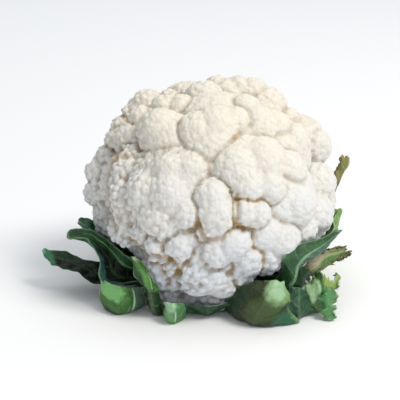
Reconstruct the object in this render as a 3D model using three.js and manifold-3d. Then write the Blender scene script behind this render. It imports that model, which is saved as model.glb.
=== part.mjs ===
// A trimmed head of cauliflower, in millimetres, +Z up. It stands on the flat cut face of its short stalk,
// whose middle is the origin. The curd is one body of many florets. Round its foot stand the cut leaves, each
// one body of a thick midrib and a thin waved blade.
import * as THREE from 'three';
import { mergeVertices } from 'three/addons/utils/BufferGeometryUtils.js';
import Module from 'manifold-3d';

const wasm = await Module();
wasm.setup();

// The head: an ellipsoid that its florets fill. Below its middle it hangs low in front and curves in behind.
const HEAD_MIDDLE = new THREE.Vector3(0, 0, 65);
const HEAD_RADII = new THREE.Vector3(90, 90, 80);
const LOW_FRONT_RADII = new THREE.Vector3(90, 90, 92);
const LOW_BACK_RADII = new THREE.Vector3(90, 90, 58);
const HEAD_FOOT_HEIGHT = 19;

// The core under the florets, as a share of the head, and its underside.
const CORE_SHARE = 0.8;
const CORE_SIDES = 24;
const CORE_ARCS = 8;
const CORE_LOWEST_ANGLE = -28;
const UNDERSIDE_RADIUS = 48;
const UNDERSIDE_RISE = 6;

// The hollow under the head, where the leaf stalks pass: its height over the ground at growing radii.
const HOLLOW = [[0, 19], [26, 19], [48, 17], [110, 17]];

// A floret: a low dome, and lobes that stand out of it and drop away towards the floret's edge.
const FLORET_EDGE_DROP = 7;
const DOME_ROUNDNESS = 1.3;
const DOME_DEPTH = 5.5;
const FINE_BALL_RADIUS = 40;

// The stalk.
const STALK_RADIUS = 24;
const STALK_HEIGHT = 18.6;
const STALK_SIDES = 24;
const STALK_EDGE = 1.5;
const STALK_SWELLING = 0.8;

// The space kept between neighbouring pieces.
const GAP = 0.35;

// The front of the head is measured looking slightly down on it, along this line of sight.
const VIEW_TILT = THREE.MathUtils.degToRad(18);
const VIEW_DISTANCE = 950;
const VIEW_AIM = new THREE.Vector3(-7, 0, 59);
const VIEW_RIGHT = new THREE.Vector3(1, 0, 0);
const VIEW_UP = new THREE.Vector3(0, Math.sin(VIEW_TILT), Math.cos(VIEW_TILT));
const VIEW_BACK = new THREE.Vector3(0, -Math.cos(VIEW_TILT), Math.sin(VIEW_TILT));
const EYE = VIEW_AIM.clone().addScaledVector(VIEW_BACK, VIEW_DISTANCE);

// The florets of the front, each with its reach and its lobes. A lobe is [across, up, radius], seen along
// that line, from the middle of the head.
const FRONT_FLORETS = [
  { middle: [-38, -5], reach: 34, lobes: [
    [-55, 14, 15], [-27, 15, 11], [-13, 15, 11], [-27, -2, 14], [-43, 0, 12], [-15, -15, 11], [-35, -16, 12],
    [-58, -5, 13], [-56, -22, 13], [-43, -30, 10]] },
  { middle: [2, -14], reach: 18, lobes: [[1, -4, 11], [4, -15, 12], [1, -26, 10]] },
  { middle: [-36, 43], reach: 20, lobes: [[-34, 41, 13], [-31, 55, 10], [-46, 49, 9]] },
  { middle: [-49, 57], reach: 18, lobes: [[-46, 62, 11], [-56, 55, 9]] },
  { middle: [-65, 43], reach: 15, lobes: [[-64, 49, 9], [-65, 36, 9]] },
  { middle: [-25, 67], reach: 12, lobes: [[-28, 65, 9]] },
  { middle: [2, 42], reach: 26, lobes: [[-9, 40, 12], [4, 43, 13], [17, 45, 11]] },
  { middle: [8, 66], reach: 30, lobes: [[-4, 62, 12], [7, 70, 11], [19, 70, 12], [30, 67, 11]] },
  { middle: [35, 52], reach: 27, lobes: [[38, 59, 14], [32, 43, 13], [43, 43, 11], [24, 55, 10]] },
  { middle: [64, 39], reach: 24, lobes: [[56, 49, 10], [57, 35, 10], [69, 47, 10], [75, 34, 11]] },
  { middle: [33, 14], reach: 30, lobes: [
    [17, 14, 14], [35, 20, 14], [52, 14, 12], [25, 3, 10], [40, 3, 10]] },
  { middle: [66, -8], reach: 28, lobes: [
    [57, -8, 13], [72, 6, 12], [80, -6, 10], [71, -15, 12], [79, -22, 10], [62, -27, 10]] },
  { middle: [27, -15], reach: 13, lobes: [[23, -14, 8], [32, -15, 8]] },
  { middle: [46, -38], reach: 21, lobes: [[46, -32, 13], [38, -45, 10], [54, -43, 11]] },
  { middle: [14, -41], reach: 20, lobes: [[15, -34, 11], [3, -41, 10], [25, -45, 11], [19, -54, 10]] },
  { middle: [-4, -56], reach: 20, lobes: [[-8, -53, 12], [8, -58, 10]] },
  { middle: [1, -66], reach: 16, lobes: [[-10, -70, 9], [3, -71, 9], [15, -68, 9]] },
  { middle: [-34, -55], reach: 14, lobes: [[-34, -54, 11]] },
  { middle: [-26, -66], reach: 12, lobes: [[-27, -69, 9]] },
  { middle: [-19, -38], reach: 14, lobes: [[-21, -37, 10]] },
  { middle: [-77, 8], reach: 22, lobes: [[-73, 25, 9], [-79, 14, 8], [-81, 0, 9], [-79, -17, 9]] },
];

// The florets out of that sight follow a rule.
const HIDDEN_FLORETS = 74;
const HIDDEN_RADII = [18, 23];
const HIDDEN_SINKS = [0, 3];
const HIDDEN_FACING = { side: 0.05, top: 0.25 };
const HIDDEN_LOWEST = 36;
const GOLDEN_ANGLE = Math.PI * (3 - Math.sqrt(5));

// Midrib and blade of the leaves, from the stalk to the tip.
const BLADE_THICKNESS = 0.9;
const RIB_THICKNESS = [5.5, 4.5, 3, 2, 1.2];
const RIB_HALF_WIDTH = [8, 6, 4.5, 3.2, 2.4];
const LEAF_STEPS = 8;
const LEAF_COLUMNS = 4;
const RUFFLES = 3;
const LOWEST_LEAF = 0.5;
const INNER_RIB_SHARE = 0.2;

// The leaves of the front, as measured. A station runs across the leaf: an edge, the midrib, the other edge.
// The stations follow each other from the stalk to the tip. ruffle: height of the waves along the edges.
// notch: how deep the edges are cut, as a share of the half-width. flap: a torn lobe that hangs down.
const FRONT_LEAVES = [
  { name: 'leaf_left_long', tone: 'dark', ruffle: 0.8, notch: 0.16, stations: [
    [[-20, 2, 9], [-22, -6, 6], [-20, -14, 9]],
    [[-52, 0, 12], [-50, -14, 7], [-46, -26, 8]],
    [[-79, -8, 16], [-78, -20, 11], [-77, -34, 10]],
    [[-95, -6, 20], [-93, -18, 17], [-91, -32, 16]],
    [[-107, -8, 25], [-106, -19, 22], [-102, -30, 20]],
    [[-118, -12, 28], [-116, -20, 25], [-113, -26, 20]],
  ] },
  { name: 'leaf_left_scoop', tone: 'green', ruffle: 0.8, notch: 0.1, stations: [
    [[-23, -8, 13], [-20, -14, 10], [-15, -19, 13]],
    [[-44, -20, 22], [-44, -30, 12], [-36, -40, 16]],
    [[-54, -38, 31], [-64, -46, 20], [-71, -56, 19]],
    [[-67, -26, 36], [-71, -36, 30], [-76, -48, 35]],
    [[-83, -20, 45], [-84, -30, 40], [-83, -38, 44]],
    [[-99, -22, 44], [-99, -28, 42], [-97, -32, 40]],
  ] },
  { name: 'leaf_left_back', tone: 'green', ruffle: 1.2, notch: 0.16, stations: [
    [[-24, 8, 14], [-24, 2, 11], [-23, -5, 14]],
    [[-52, 10, 15], [-54, -1, 10], [-52, -12, 14]],
    [[-74, 4, 32], [-76, -10, 28], [-70, -26, 30]],
    [[-80, 0, 45], [-84, -12, 41], [-78, -26, 40]],
    [[-91, -2, 46], [-93, -5, 45], [-92, -8, 43]],
  ] },
  { name: 'leaf_left_short', tone: 'light', ruffle: 0.8, notch: 0.25, stations: [
    [[-21, -12, 6], [-18, -17, 4], [-13, -21, 6]],
    [[-48, -28, 7], [-40, -38, 3], [-28, -43, 6]],
    [[-73, -48, 5], [-61, -60, -1], [-42, -50, 1]],
    [[-74, -48, 12], [-59, -68, 10], [-41, -54, 7]],
    [[-74, -46, 17], [-59, -64, 19], [-43, -55, 13]],
  ] },
  { name: 'leaf_left_strap', tone: 'light', ruffle: 1.2, notch: 0.16, stations: [
    [[-14, -20, 13], [-10, -22, 10], [-5, -24, 12]],
    [[-30, -46, 12], [-24, -48, 8], [-18, -50, 11]],
    [[-39, -56, 4], [-35, -66, 2], [-30, -64, 3]],
    [[-44, -66, 18], [-39, -74, 20], [-33, -72, 16]],
    [[-49, -68, 28], [-43, -75, 31], [-37, -71, 24]],
    [[-53, -64, 38], [-48, -71, 39], [-42, -69, 32]],
    [[-52, -64, 42], [-50, -68, 42], [-46, -68, 38]],
  ] },
  { name: 'leaf_front_stub', tone: 'light', ruffle: 1.2, notch: 0.16, stations: [
    [[-10, -22, 6], [-5, -24, 4], [0, -24, 6]],
    [[-20, -50, 5], [-14, -52, 3], [-8, -52, 5]],
    [[-30, -68, 3], [-24, -74, 1], [-16, -68, 1]],
    [[-30, -76, 10], [-24, -82, 9], [-16, -76, 8]],
    [[-31, -76, 14], [-25, -81, 15], [-18, -76, 13]],
  ] },
  { name: 'leaf_front_strip', tone: 'dark', ruffle: 1.2, notch: 0.16, stations: [
    [[1, -24, 6], [6, -24, 4], [11, -22, 6]],
    [[-6, -46, 5], [4, -48, 3], [14, -44, 5]],
    [[-16, -62, 2], [-2, -64, 1], [13, -60, 3]],
    [[-18, -72, 9], [-2, -75, 8], [14, -70, 9]],
    [[-18, -73, 11], [-2, -76, 11], [14, -72, 12]],
  ] },
  { name: 'leaf_right_broad', tone: 'dark', ruffle: 1.2, notch: 0.16, stations: [
    [[11, -22, 6], [15, -20, 4], [19, -16, 6]],
    [[14, -44, 5], [26, -50, 3], [38, -44, 5]],
    [[10, -58, 0], [28, -82, 1], [58, -76, 0]],
    [[12, -68, 17], [31, -88, 11], [53, -80, 11]],
    [[19, -74, 24], [37, -89, 23], [51, -80, 20]],
    [[36, -80, 30], [42, -82, 32], [49, -78, 32]],
  ] },
  { name: 'leaf_right_lance', tone: 'green', ruffle: 0.7, notch: 0.08, stations: [
    [[17, -19, 14], [20, -15, 11], [23, -10, 14]],
    [[36, -44, 14], [42, -40, 10], [46, -34, 14]],
    [[47, -66, 32], [51, -62, 23], [55, -54, 19]],
    [[47, -71, 44], [54, -66, 37], [60, -56, 29]],
    [[58, -64, 49], [63, -59, 43], [71, -48, 34]],
    [[75, -48, 49], [77, -44, 45], [83, -36, 40]],
    [[90, -18, 45], [91, -16, 43], [91, -14, 41]],
  ] },
  { name: 'leaf_right_under', tone: 'dark', ruffle: 1.2, notch: 0.16, stations: [
    [[21, -13, 14], [22, -8, 11], [24, -3, 14]],
    [[44, -34, 15], [47, -29, 11], [49, -22, 15]],
    [[52, -58, 21], [57, -54, 15], [64, -44, 13]],
    [[57, -56, 29], [62, -52, 22], [68, -44, 18]],
    [[62, -50, 31], [67, -46, 26], [71, -42, 22]],
  ] },
  { name: 'leaf_right_torn', tone: 'withered', ruffle: 1.8, notch: 0.4, stations: [
    [[23, -3, 14], [24, 2, 11], [23, 7, 14]],
    [[50, -16, 15], [52, -10, 11], [53, -3, 15]],
    [[64, -32, 25], [67, -34, 19], [69, -38, 16]],
    [[76, -20, 25], [80, -22, 22], [81, -28, 20]],
    [[88, -10, 26], [91, -14, 22], [92, -20, 19]],
    [[101, -4, 27], [104, -6, 25], [102, -9, 24]],
  ] },
  { name: 'leaf_right_crinkled', tone: 'light', ruffle: 2.2, notch: 0.3, stations: [
    [[21, -13, 6], [22, -8, 4], [24, -3, 6]],
    [[48, -36, 5], [52, -30, 3], [56, -20, 5]],
    [[61, -60, 7], [69, -61, 1], [81, -50, 2]],
    [[62, -58, 14], [71, -66, 11], [87, -50, 8]],
    [[64, -54, 19], [76, -62, 20], [88, -48, 15]],
    [[70, -46, 22], [77, -52, 27], [85, -44, 22]],
  ], flap: [
    [[73, -62, 20], [76, -63, 21], [80, -61, 20]],
    [[72, -70, 15], [76, -73, 15], [81, -70, 15]],
    [[72, -74, 8], [76, -77, 8], [82, -73, 8]],
    [[74, -76, 1], [76, -79, 0], [80, -76, 1]],
  ] },
  { name: 'leaf_right_dark', tone: 'dark', ruffle: 1.2, notch: 0.16, stations: [
    [[17, -19, 6], [19, -16, 4], [22, -12, 6]],
    [[38, -48, 5], [44, -44, 3], [50, -38, 5]],
    [[48, -76, 9], [56, -74, 3], [68, -64, 3]],
    [[49, -74, 17], [57, -76, 13], [66, -66, 10]],
    [[52, -66, 21], [58, -68, 20], [64, -62, 16]],
  ] },
  { name: 'leaf_right_tip', tone: 'light', ruffle: 1.2, notch: 0.16, stations: [
    [[23, 6, 6], [24, 11, 4], [22, 16, 6]],
    [[60, 6, 12], [62, 18, 8], [60, 30, 12]],
    [[82, 2, 30], [86, 20, 26], [78, 34, 30]],
    [[88, 6, 44], [92, 18, 42], [86, 30, 44]],
    [[92, 18, 46], [94, 20, 46], [95, 26, 41]],
  ] },
  { name: 'leaf_back_right', tone: 'withered', ruffle: 1.5, notch: 0.4, stations: [
    [[21, 10, 14], [19, 16, 11], [15, 20, 14]],
    [[60, 26, 24], [58, 36, 18], [50, 46, 24]],
    [[86, 26, 50], [85, 44, 46], [76, 54, 50]],
    [[90, 38, 66], [96, 46, 66], [95, 54, 65]],
    [[91, 38, 77], [100, 46, 72], [99, 52, 73]],
    [[96, 44, 80], [100, 46, 81], [100, 50, 77]],
  ] },
];

// The leaves of the back, cut short. azimuth: the way they point, in degrees from +X. reach: how far out they
// stand. rise: how high. base: height of their foot on the stalk.
const BACK_RUFFLE = 1.2;
const BACK_NOTCH = 0.2;
const BACK_LEAVES = [
  { name: 'leaf_back_1', tone: 'green', azimuth: 62, reach: 84, rise: 38, halfWidth: 22, base: 4 },
  { name: 'leaf_back_2', tone: 'dark', azimuth: 88, reach: 92, rise: 52, halfWidth: 17, base: 11 },
  { name: 'leaf_back_3', tone: 'green', azimuth: 112, reach: 80, rise: 30, halfWidth: 23, base: 4 },
  { name: 'leaf_back_4', tone: 'dark', azimuth: 140, reach: 92, rise: 56, halfWidth: 18, base: 11 },
  { name: 'leaf_back_5', tone: 'green', azimuth: 160, reach: 86, rise: 34, halfWidth: 20, base: 4 },
];

// Small helpers for smooth values and fixed randomness.
function seededRandom(seed) {
  let state = seed;
  return () => {
    state = (state + 0x6d2b79f5) | 0;
    let t = Math.imul(state ^ (state >>> 15), 1 | state);
    t = (t + Math.imul(t ^ (t >>> 7), 61 | t)) ^ t;
    return ((t ^ (t >>> 14)) >>> 0) / 4294967296;
  };
}

// A smooth value at share t of the way through evenly spaced stations.
function along(values, t) {
  const last = values.length - 1;
  const place = t * last;
  const i = Math.min(Math.floor(place), last - 1);
  const f = place - i;
  const [a, b, c, d] = [i - 1, i, i + 1, i + 2].map((k) => values[THREE.MathUtils.clamp(k, 0, last)]);
  const [slope, bend, twist] = [c - a, 2 * a - 5 * b + 4 * c - d, 3 * b - a - 3 * c + d];
  return b + 0.5 * (slope * f + bend * f ** 2 + twist * f ** 3);
}

function pointAlong(points, t) {
  return new THREE.Vector3(...[0, 1, 2].map((axis) => along(points.map((p) => p[axis]), t)));
}

// Between three.js meshes and solids that can be joined and cut.
function toSolid(geometry) {
  const bare = geometry.clone();
  bare.deleteAttribute('normal');
  bare.deleteAttribute('uv');
  const merged = mergeVertices(bare, 1e-4);
  return new wasm.Manifold(new wasm.Mesh({
    numProp: 3,
    vertProperties: new Float32Array(merged.attributes.position.array),
    triVerts: new Uint32Array(merged.index.array),
  }));
}

function toGeometry(solid) {
  const { numVert, numProp, vertProperties, triVerts } = solid.getMesh();
  const positions = new Float32Array(numVert * 3);
  for (let i = 0; i < numVert; i++) {
    positions.set(vertProperties.subarray(i * numProp, i * numProp + 3), i * 3);
  }
  const geometry = new THREE.BufferGeometry();
  geometry.setAttribute('position', new THREE.BufferAttribute(positions, 3));
  geometry.setIndex(new THREE.BufferAttribute(new Uint32Array(triVerts), 1));
  geometry.computeVertexNormals();
  return geometry;
}

// The largest body of a solid, so that a cut leaves no loose scrap.
function largestBody(solid) {
  return solid.decompose().reduce((best, body) => (body.volume() > best.volume() ? body : best));
}

// Where a ball of that radius sits, that far under the skin of the head, to be seen at (across, up).
function ballFromTheFront(across, up, radius, sink, headRadii = HEAD_RADII) {
  const radii = headRadii.clone().subScalar(radius + sink);
  const target = HEAD_MIDDLE.clone().addScaledVector(VIEW_RIGHT, across).addScaledVector(VIEW_UP, up);
  const direction = target.sub(EYE).normalize();
  const from = EYE.clone().sub(HEAD_MIDDLE).divide(radii);
  const step = direction.clone().divide(radii);
  const [a, b, c] = [step.dot(step), 2 * from.dot(step), from.dot(from) - 1];
  const distance = (-b - Math.sqrt(Math.max(0, b * b - 4 * a * c))) / (2 * a);
  const nearest = EYE.clone().addScaledVector(direction, distance).sub(HEAD_MIDDLE);
  if (nearest.z < 0 && headRadii === HEAD_RADII) {
    return ballFromTheFront(across, up, radius, sink, LOW_FRONT_RADII);
  }
  return nearest.divide(radii).normalize().multiply(radii).add(HEAD_MIDDLE);
}

function frontDomes() {
  return FRONT_FLORETS.map(({ middle, reach }) => {
    const radius = reach * DOME_ROUNDNESS;
    return { centre: ballFromTheFront(...middle, radius, DOME_DEPTH), radius };
  });
}

function frontLobes() {
  return FRONT_FLORETS.flatMap(({ middle, reach, lobes }) => lobes.map(([across, up, radius]) => {
    const away = Math.hypot(across - middle[0], up - middle[1]) / reach;
    return { centre: ballFromTheFront(across, up, radius, FLORET_EDGE_DROP * away ** 2), radius };
  }));
}

// Whether the measured view leaves out that side of the head. It sees the top only at a slant.
function isOutOfSight(direction) {
  return direction.dot(VIEW_BACK) < HIDDEN_FACING.side + HIDDEN_FACING.top * Math.max(0, direction.z);
}

// A ball that lies that far under the skin of the head, in a direction from its middle.
function ballTowards(direction, radius, sink) {
  const radii = (direction.z < 0 ? LOW_BACK_RADII : HEAD_RADII).clone();
  return { centre: radii.subScalar(radius + sink).multiply(direction).add(HEAD_MIDDLE), radius };
}

// Florets spread evenly over the sides that the measured view doesn't show.
function hiddenBalls() {
  const random = seededRandom(11);
  const balls = [];
  for (let i = 0; i < HIDDEN_FLORETS; i++) {
    const height = 1 - (2 * (i + 0.5)) / HIDDEN_FLORETS;
    const turn = i * GOLDEN_ANGLE;
    const flat = Math.sqrt(1 - height * height);
    const direction = new THREE.Vector3(flat * Math.cos(turn), flat * Math.sin(turn), height);
    const radius = THREE.MathUtils.lerp(...HIDDEN_RADII, random());
    const ball = ballTowards(direction, radius, THREE.MathUtils.lerp(...HIDDEN_SINKS, random()));
    if (isOutOfSight(direction) && ball.centre.z > HIDDEN_LOWEST) balls.push(ball);
  }
  return balls;
}

function ballGeometry({ centre, radius }, random) {
  const geometry = new THREE.IcosahedronGeometry(radius, radius < FINE_BALL_RADIUS ? 1 : 2);
  const turn = new THREE.Euler(random() * Math.PI, random() * Math.PI, random() * Math.PI);
  geometry.applyMatrix4(new THREE.Matrix4().makeRotationFromEuler(turn));
  return geometry.translate(centre.x, centre.y, centre.z);
}

// A solid of revolution about +Z, from a profile of [radius, height].
function turned(profile, sides) {
  const geometry = new THREE.LatheGeometry(profile.map(([r, z]) => new THREE.Vector2(r, z)), sides);
  return toSolid(geometry.rotateX(Math.PI / 2));
}

// The body under the florets: a dome whose underside rises outwards from the top of the stalk.
function coreSolid(extra) {
  const foot = HEAD_FOOT_HEIGHT - extra;
  const radius = HEAD_RADII.x * CORE_SHARE + extra;
  const height = HEAD_RADII.z * CORE_SHARE + extra;
  const profile = [[0, foot], [STALK_RADIUS, foot], [UNDERSIDE_RADIUS, foot + UNDERSIDE_RISE]];
  for (let i = 0; i < CORE_ARCS; i++) {
    const angle = THREE.MathUtils.degToRad(THREE.MathUtils.lerp(CORE_LOWEST_ANGLE, 90, i / CORE_ARCS));
    profile.push([radius * Math.cos(angle), HEAD_MIDDLE.z + height * Math.sin(angle)]);
  }
  profile.push([0, HEAD_MIDDLE.z + height]);
  return turned(profile, CORE_SIDES);
}

function curdSolid(extra) {
  const random = seededRandom(7);
  const solids = (balls) => balls.map(({ centre, radius }) => (
    toSolid(ballGeometry({ centre, radius: radius + extra }, random))));
  const hollow = turned([
    [0, -HEAD_MIDDLE.z],
    [HOLLOW.at(-1)[0], -HEAD_MIDDLE.z],
    ...HOLLOW.toReversed().map(([radius, height]) => [radius, height - extra]),
  ], CORE_SIDES);
  const inside = wasm.Manifold.union([coreSolid(extra), ...solids(frontDomes())]).subtract(hollow);
  return largestBody(wasm.Manifold.union([inside, ...solids(frontLobes()), ...solids(hiddenBalls())]));
}

function stalkSolid(extra) {
  const radius = STALK_RADIUS + extra;
  const top = STALK_HEIGHT + extra;
  return turned([
    [0, -extra],
    [radius - STALK_EDGE, -extra],
    [radius, STALK_EDGE],
    [radius + STALK_SWELLING, STALK_HEIGHT * 0.6],
    [radius, top],
    [0, top],
  ], STALK_SIDES);
}

// Stations of a back leaf: out along the ground, then up round the head.
function backLeafStations({ azimuth, reach, rise, halfWidth, base }) {
  const profile = [
    { distance: STALK_RADIUS - 2, height: base, half: 7, cup: 0.25 },
    { distance: STALK_RADIUS * 2, height: base, half: halfWidth * 0.5, cup: 0.25 },
    { distance: reach * 0.86, height: base + rise * 0.2, half: halfWidth, cup: 0.25 },
    { distance: reach, height: rise * 0.62, half: halfWidth, cup: 0 },
    { distance: reach * 0.98, height: rise, half: halfWidth * 0.7, cup: 0 },
  ];
  return profile.map(({ distance, height, half, cup }) => [-1, 0, 1].map((side) => {
    const angle = THREE.MathUtils.degToRad(azimuth) + (side * half) / distance;
    return [distance * Math.cos(angle), distance * Math.sin(angle), height + Math.abs(side) * half * cup];
  }));
}

// A point of a leaf's middle surface: t runs from stalk to tip, v from edge to edge as -1 to 1.
function leafPoint(stations, t, v) {
  const [edge, middle, other] = [0, 1, 2].map((k) => pointAlong(stations.map((station) => station[k]), t));
  const across = other.clone().sub(edge).multiplyScalar(v / 2);
  const cup = edge.add(other).multiplyScalar(0.5).sub(middle).multiplyScalar(v * v);
  return middle.add(across).add(cup);
}

// The way the leaf runs at that point, and the way its surface looks.
function leafSlopes(stations, t, v) {
  const small = 0.02;
  const ahead = leafPoint(stations, Math.min(1, t + small), v);
  const tangent = ahead.sub(leafPoint(stations, Math.max(0, t - small), v)).normalize();
  const across = leafPoint(stations, t, v + small).sub(leafPoint(stations, t, v - small));
  return { tangent, normal: tangent.clone().cross(across).normalize() };
}

// A leaf as one closed body: inner and outer skins over the same grid, joined round the edge. The inner skin
// looks at the head, and the midrib stands out of the outer one.
function leafGeometry({ stations, seed, ruffle, notch }, extra) {
  const random = seededRandom(seed);
  const toHead = HEAD_MIDDLE.clone().sub(leafPoint(stations, 0.4, 0));
  const facing = Math.sign(leafSlopes(stations, 0.4, 0).normal.dot(toHead));
  const tipNotches = Array.from({ length: LEAF_COLUMNS + 1 }, () => (notch * random()) / 2);
  const skins = [[], []];
  for (let i = 0; i <= LEAF_STEPS; i++) {
    const sideNotches = [notch * random(), notch * random()];
    for (let j = 0; j <= LEAF_COLUMNS; j++) {
      const even = facing * ((2 * j) / LEAF_COLUMNS - 1);
      const share = Math.abs(even);
      const side = even < 0 ? 0 : 1;
      const t = (i / LEAF_STEPS) * (1 - tipNotches[j]);
      const halfWidth = leafPoint(stations, t, 1).distanceTo(leafPoint(stations, t, -1)) / 2;
      const v = even * (1 - sideNotches[side] * share ** 3 * t + extra / halfWidth);
      const { tangent, normal } = leafSlopes(stations, t, v);
      normal.multiplyScalar(facing);
      const turns = RUFFLES * t + seed / 7 + side * 0.3;
      const wave = ruffle * share ** 2 * Math.sin(2 * Math.PI * turns);
      const fromRib = (halfWidth * v) / along(RIB_HALF_WIDTH, t);
      const rib = along(RIB_THICKNESS, t) * Math.exp(-(fromRib ** 2));
      const half = BLADE_THICKNESS / 2 + extra;
      const point = leafPoint(stations, t, v).addScaledVector(normal, wave);
      if (i === 0) point.addScaledVector(tangent, -extra);
      if (i === LEAF_STEPS) point.addScaledVector(tangent, extra);
      skins[0].push(point.clone().addScaledVector(normal, half + INNER_RIB_SHARE * rib));
      skins[1].push(point.clone().addScaledVector(normal, -(half + (1 - INNER_RIB_SHARE) * rib)));
    }
  }
  return skinsToGeometry(skins, LEAF_STEPS, LEAF_COLUMNS);
}

// Both skins are split along the same diagonals, so that the leaf keeps its thickness.
function skinsToGeometry([inner, outer], steps, columns) {
  const positions = [...inner, ...outer].flatMap((p) => p.toArray());
  const at = (i, j, skin) => skin * inner.length + i * (columns + 1) + j;
  const index = [];
  const quad = (a, b, c, d) => index.push(a, b, c, a, c, d);
  for (let i = 0; i < steps; i++) {
    for (let j = 0; j < columns; j++) {
      quad(at(i, j, 0), at(i + 1, j, 0), at(i + 1, j + 1, 0), at(i, j + 1, 0));
      quad(at(i, j, 1), at(i, j + 1, 1), at(i + 1, j + 1, 1), at(i + 1, j, 1));
    }
    quad(at(i, 0, 1), at(i + 1, 0, 1), at(i + 1, 0, 0), at(i, 0, 0));
    quad(at(i, columns, 0), at(i + 1, columns, 0), at(i + 1, columns, 1), at(i, columns, 1));
  }
  for (let j = 0; j < columns; j++) {
    quad(at(0, j, 0), at(0, j + 1, 0), at(0, j + 1, 1), at(0, j, 1));
    quad(at(steps, j, 1), at(steps, j + 1, 1), at(steps, j + 1, 0), at(steps, j, 0));
  }
  const geometry = new THREE.BufferGeometry();
  geometry.setAttribute('position', new THREE.Float32BufferAttribute(positions, 3));
  geometry.setIndex(index);
  return geometry;
}

function leafSolid(leaf, extra) {
  const blade = toSolid(leafGeometry(leaf, extra));
  if (!leaf.flap) return blade;
  return blade.add(toSolid(leafGeometry({ ...leaf, stations: leaf.flap }, extra)));
}

const FINISHES = {
  curd: { color: 0xe9e4d8, roughness: 0.75 },
  stalk: { color: 0xb9c48e, roughness: 0.6 },
  dark: { color: 0x33512f, roughness: 0.45 },
  green: { color: 0x3c6b43, roughness: 0.45 },
  light: { color: 0x7cb06c, roughness: 0.5 },
  withered: { color: 0x9c9160, roughness: 0.7 },
};

function named(name, solid, tone) {
  const material = new THREE.MeshStandardMaterial({ ...FINISHES[tone], metalness: 0 });
  const mesh = new THREE.Mesh(toGeometry(solid), material);
  mesh.name = name;
  return mesh;
}

const cauliflower = new THREE.Group();
cauliflower.add(named('curd', curdSolid(0), 'curd'), named('stalk', stalkSolid(0), 'stalk'));

// Each leaf gives way to the head, the stalk and the leaves before it.
const backLeaves = BACK_LEAVES.map((leaf) => (
  { ...leaf, stations: backLeafStations(leaf), ruffle: BACK_RUFFLE, notch: BACK_NOTCH }));
let taken = curdSolid(GAP).add(stalkSolid(GAP));
[...FRONT_LEAVES, ...backLeaves].forEach((leaf, i) => {
  const grown = { ...leaf, seed: i + 1 };
  const trimmed = leafSolid(grown, 0).subtract(taken).trimByPlane([0, 0, 1], LOWEST_LEAF);
  cauliflower.add(named(leaf.name, largestBody(trimmed), leaf.tone));
  taken = taken.add(leafSolid(grown, GAP));
});

export default cauliflower;
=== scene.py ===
"""A trimmed head of cauliflower: its curd, its cut stalk and the leaves round its foot.

The frame is in metres with +Z up. The plans of the pieces are drawn in millimetres in that frame.
"""

import logging
import math
from collections.abc import Callable, Sequence
from dataclasses import dataclass, field, replace
from enum import Enum

import bmesh
import bpy
import numpy as np
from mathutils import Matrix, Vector, kdtree, noise


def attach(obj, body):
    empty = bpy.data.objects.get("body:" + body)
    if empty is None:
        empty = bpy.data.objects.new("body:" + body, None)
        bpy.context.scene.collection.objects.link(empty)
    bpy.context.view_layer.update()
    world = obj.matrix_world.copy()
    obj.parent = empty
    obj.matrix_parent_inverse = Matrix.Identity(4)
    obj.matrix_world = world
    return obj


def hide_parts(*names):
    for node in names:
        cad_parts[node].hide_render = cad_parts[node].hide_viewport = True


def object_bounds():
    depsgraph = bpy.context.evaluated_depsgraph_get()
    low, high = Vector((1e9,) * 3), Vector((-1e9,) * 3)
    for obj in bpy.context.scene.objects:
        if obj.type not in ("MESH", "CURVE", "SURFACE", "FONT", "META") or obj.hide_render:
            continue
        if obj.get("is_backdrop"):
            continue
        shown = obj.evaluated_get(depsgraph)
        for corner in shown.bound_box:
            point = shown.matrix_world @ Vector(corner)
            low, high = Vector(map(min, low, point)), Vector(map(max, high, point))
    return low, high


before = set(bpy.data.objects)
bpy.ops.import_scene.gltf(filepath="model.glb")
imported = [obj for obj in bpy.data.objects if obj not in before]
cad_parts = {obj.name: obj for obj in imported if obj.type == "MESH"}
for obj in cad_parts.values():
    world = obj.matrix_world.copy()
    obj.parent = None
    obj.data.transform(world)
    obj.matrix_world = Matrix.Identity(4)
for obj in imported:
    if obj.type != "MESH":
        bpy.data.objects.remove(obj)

MM = 0.001
TINY = 1e-9
GOLDEN_ANGLE = math.pi * (3 - math.sqrt(5))
ROOT = "root"
HEAD_MIDDLE = np.array([0.0, 0.0, 65.0])

# The side veins of a leaf: how far apart they leave the midrib, and how far they lean towards the tip.
VEIN_PITCH = 10.5
VEIN_LEAN = 0.75

# The line of sight that the front of the head is drawn along.
VIEW_TILT = math.radians(18)
VIEW_DISTANCE = 950.0
VIEW_AIM = np.array([-7.0, 0.0, 59.0])
VIEW_RIGHT = np.array([1.0, 0.0, 0.0])
VIEW_UP = np.array([0.0, math.sin(VIEW_TILT), math.cos(VIEW_TILT)])
VIEW_BACK = np.array([0.0, -math.cos(VIEW_TILT), math.sin(VIEW_TILT)])
EYE = VIEW_AIM + VIEW_BACK * VIEW_DISTANCE

Colour = tuple[float, float, float]
Point = tuple[float, float, float]
Pair = tuple[float, float]

log = logging.getLogger("cauliflower")


def linear(red: int, green: int, blue: int) -> Colour:
    """Turns a colour of 0 to 255 as seen on a screen into light values.

    Args:
        red: Red share.
        green: Green share.
        blue: Blue share.

    Returns:
        The colour in linear light.
    """
    toe_slope, toe_end, lift, power = 12.92, 0.04045, 0.055, 2.4

    def decode(share: float) -> float:
        """Undoes the screen's curve for one share."""
        return share / toe_slope if share <= toe_end else ((share + lift) / (1 + lift)) ** power

    return decode(red / 255), decode(green / 255), decode(blue / 255)


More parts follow.
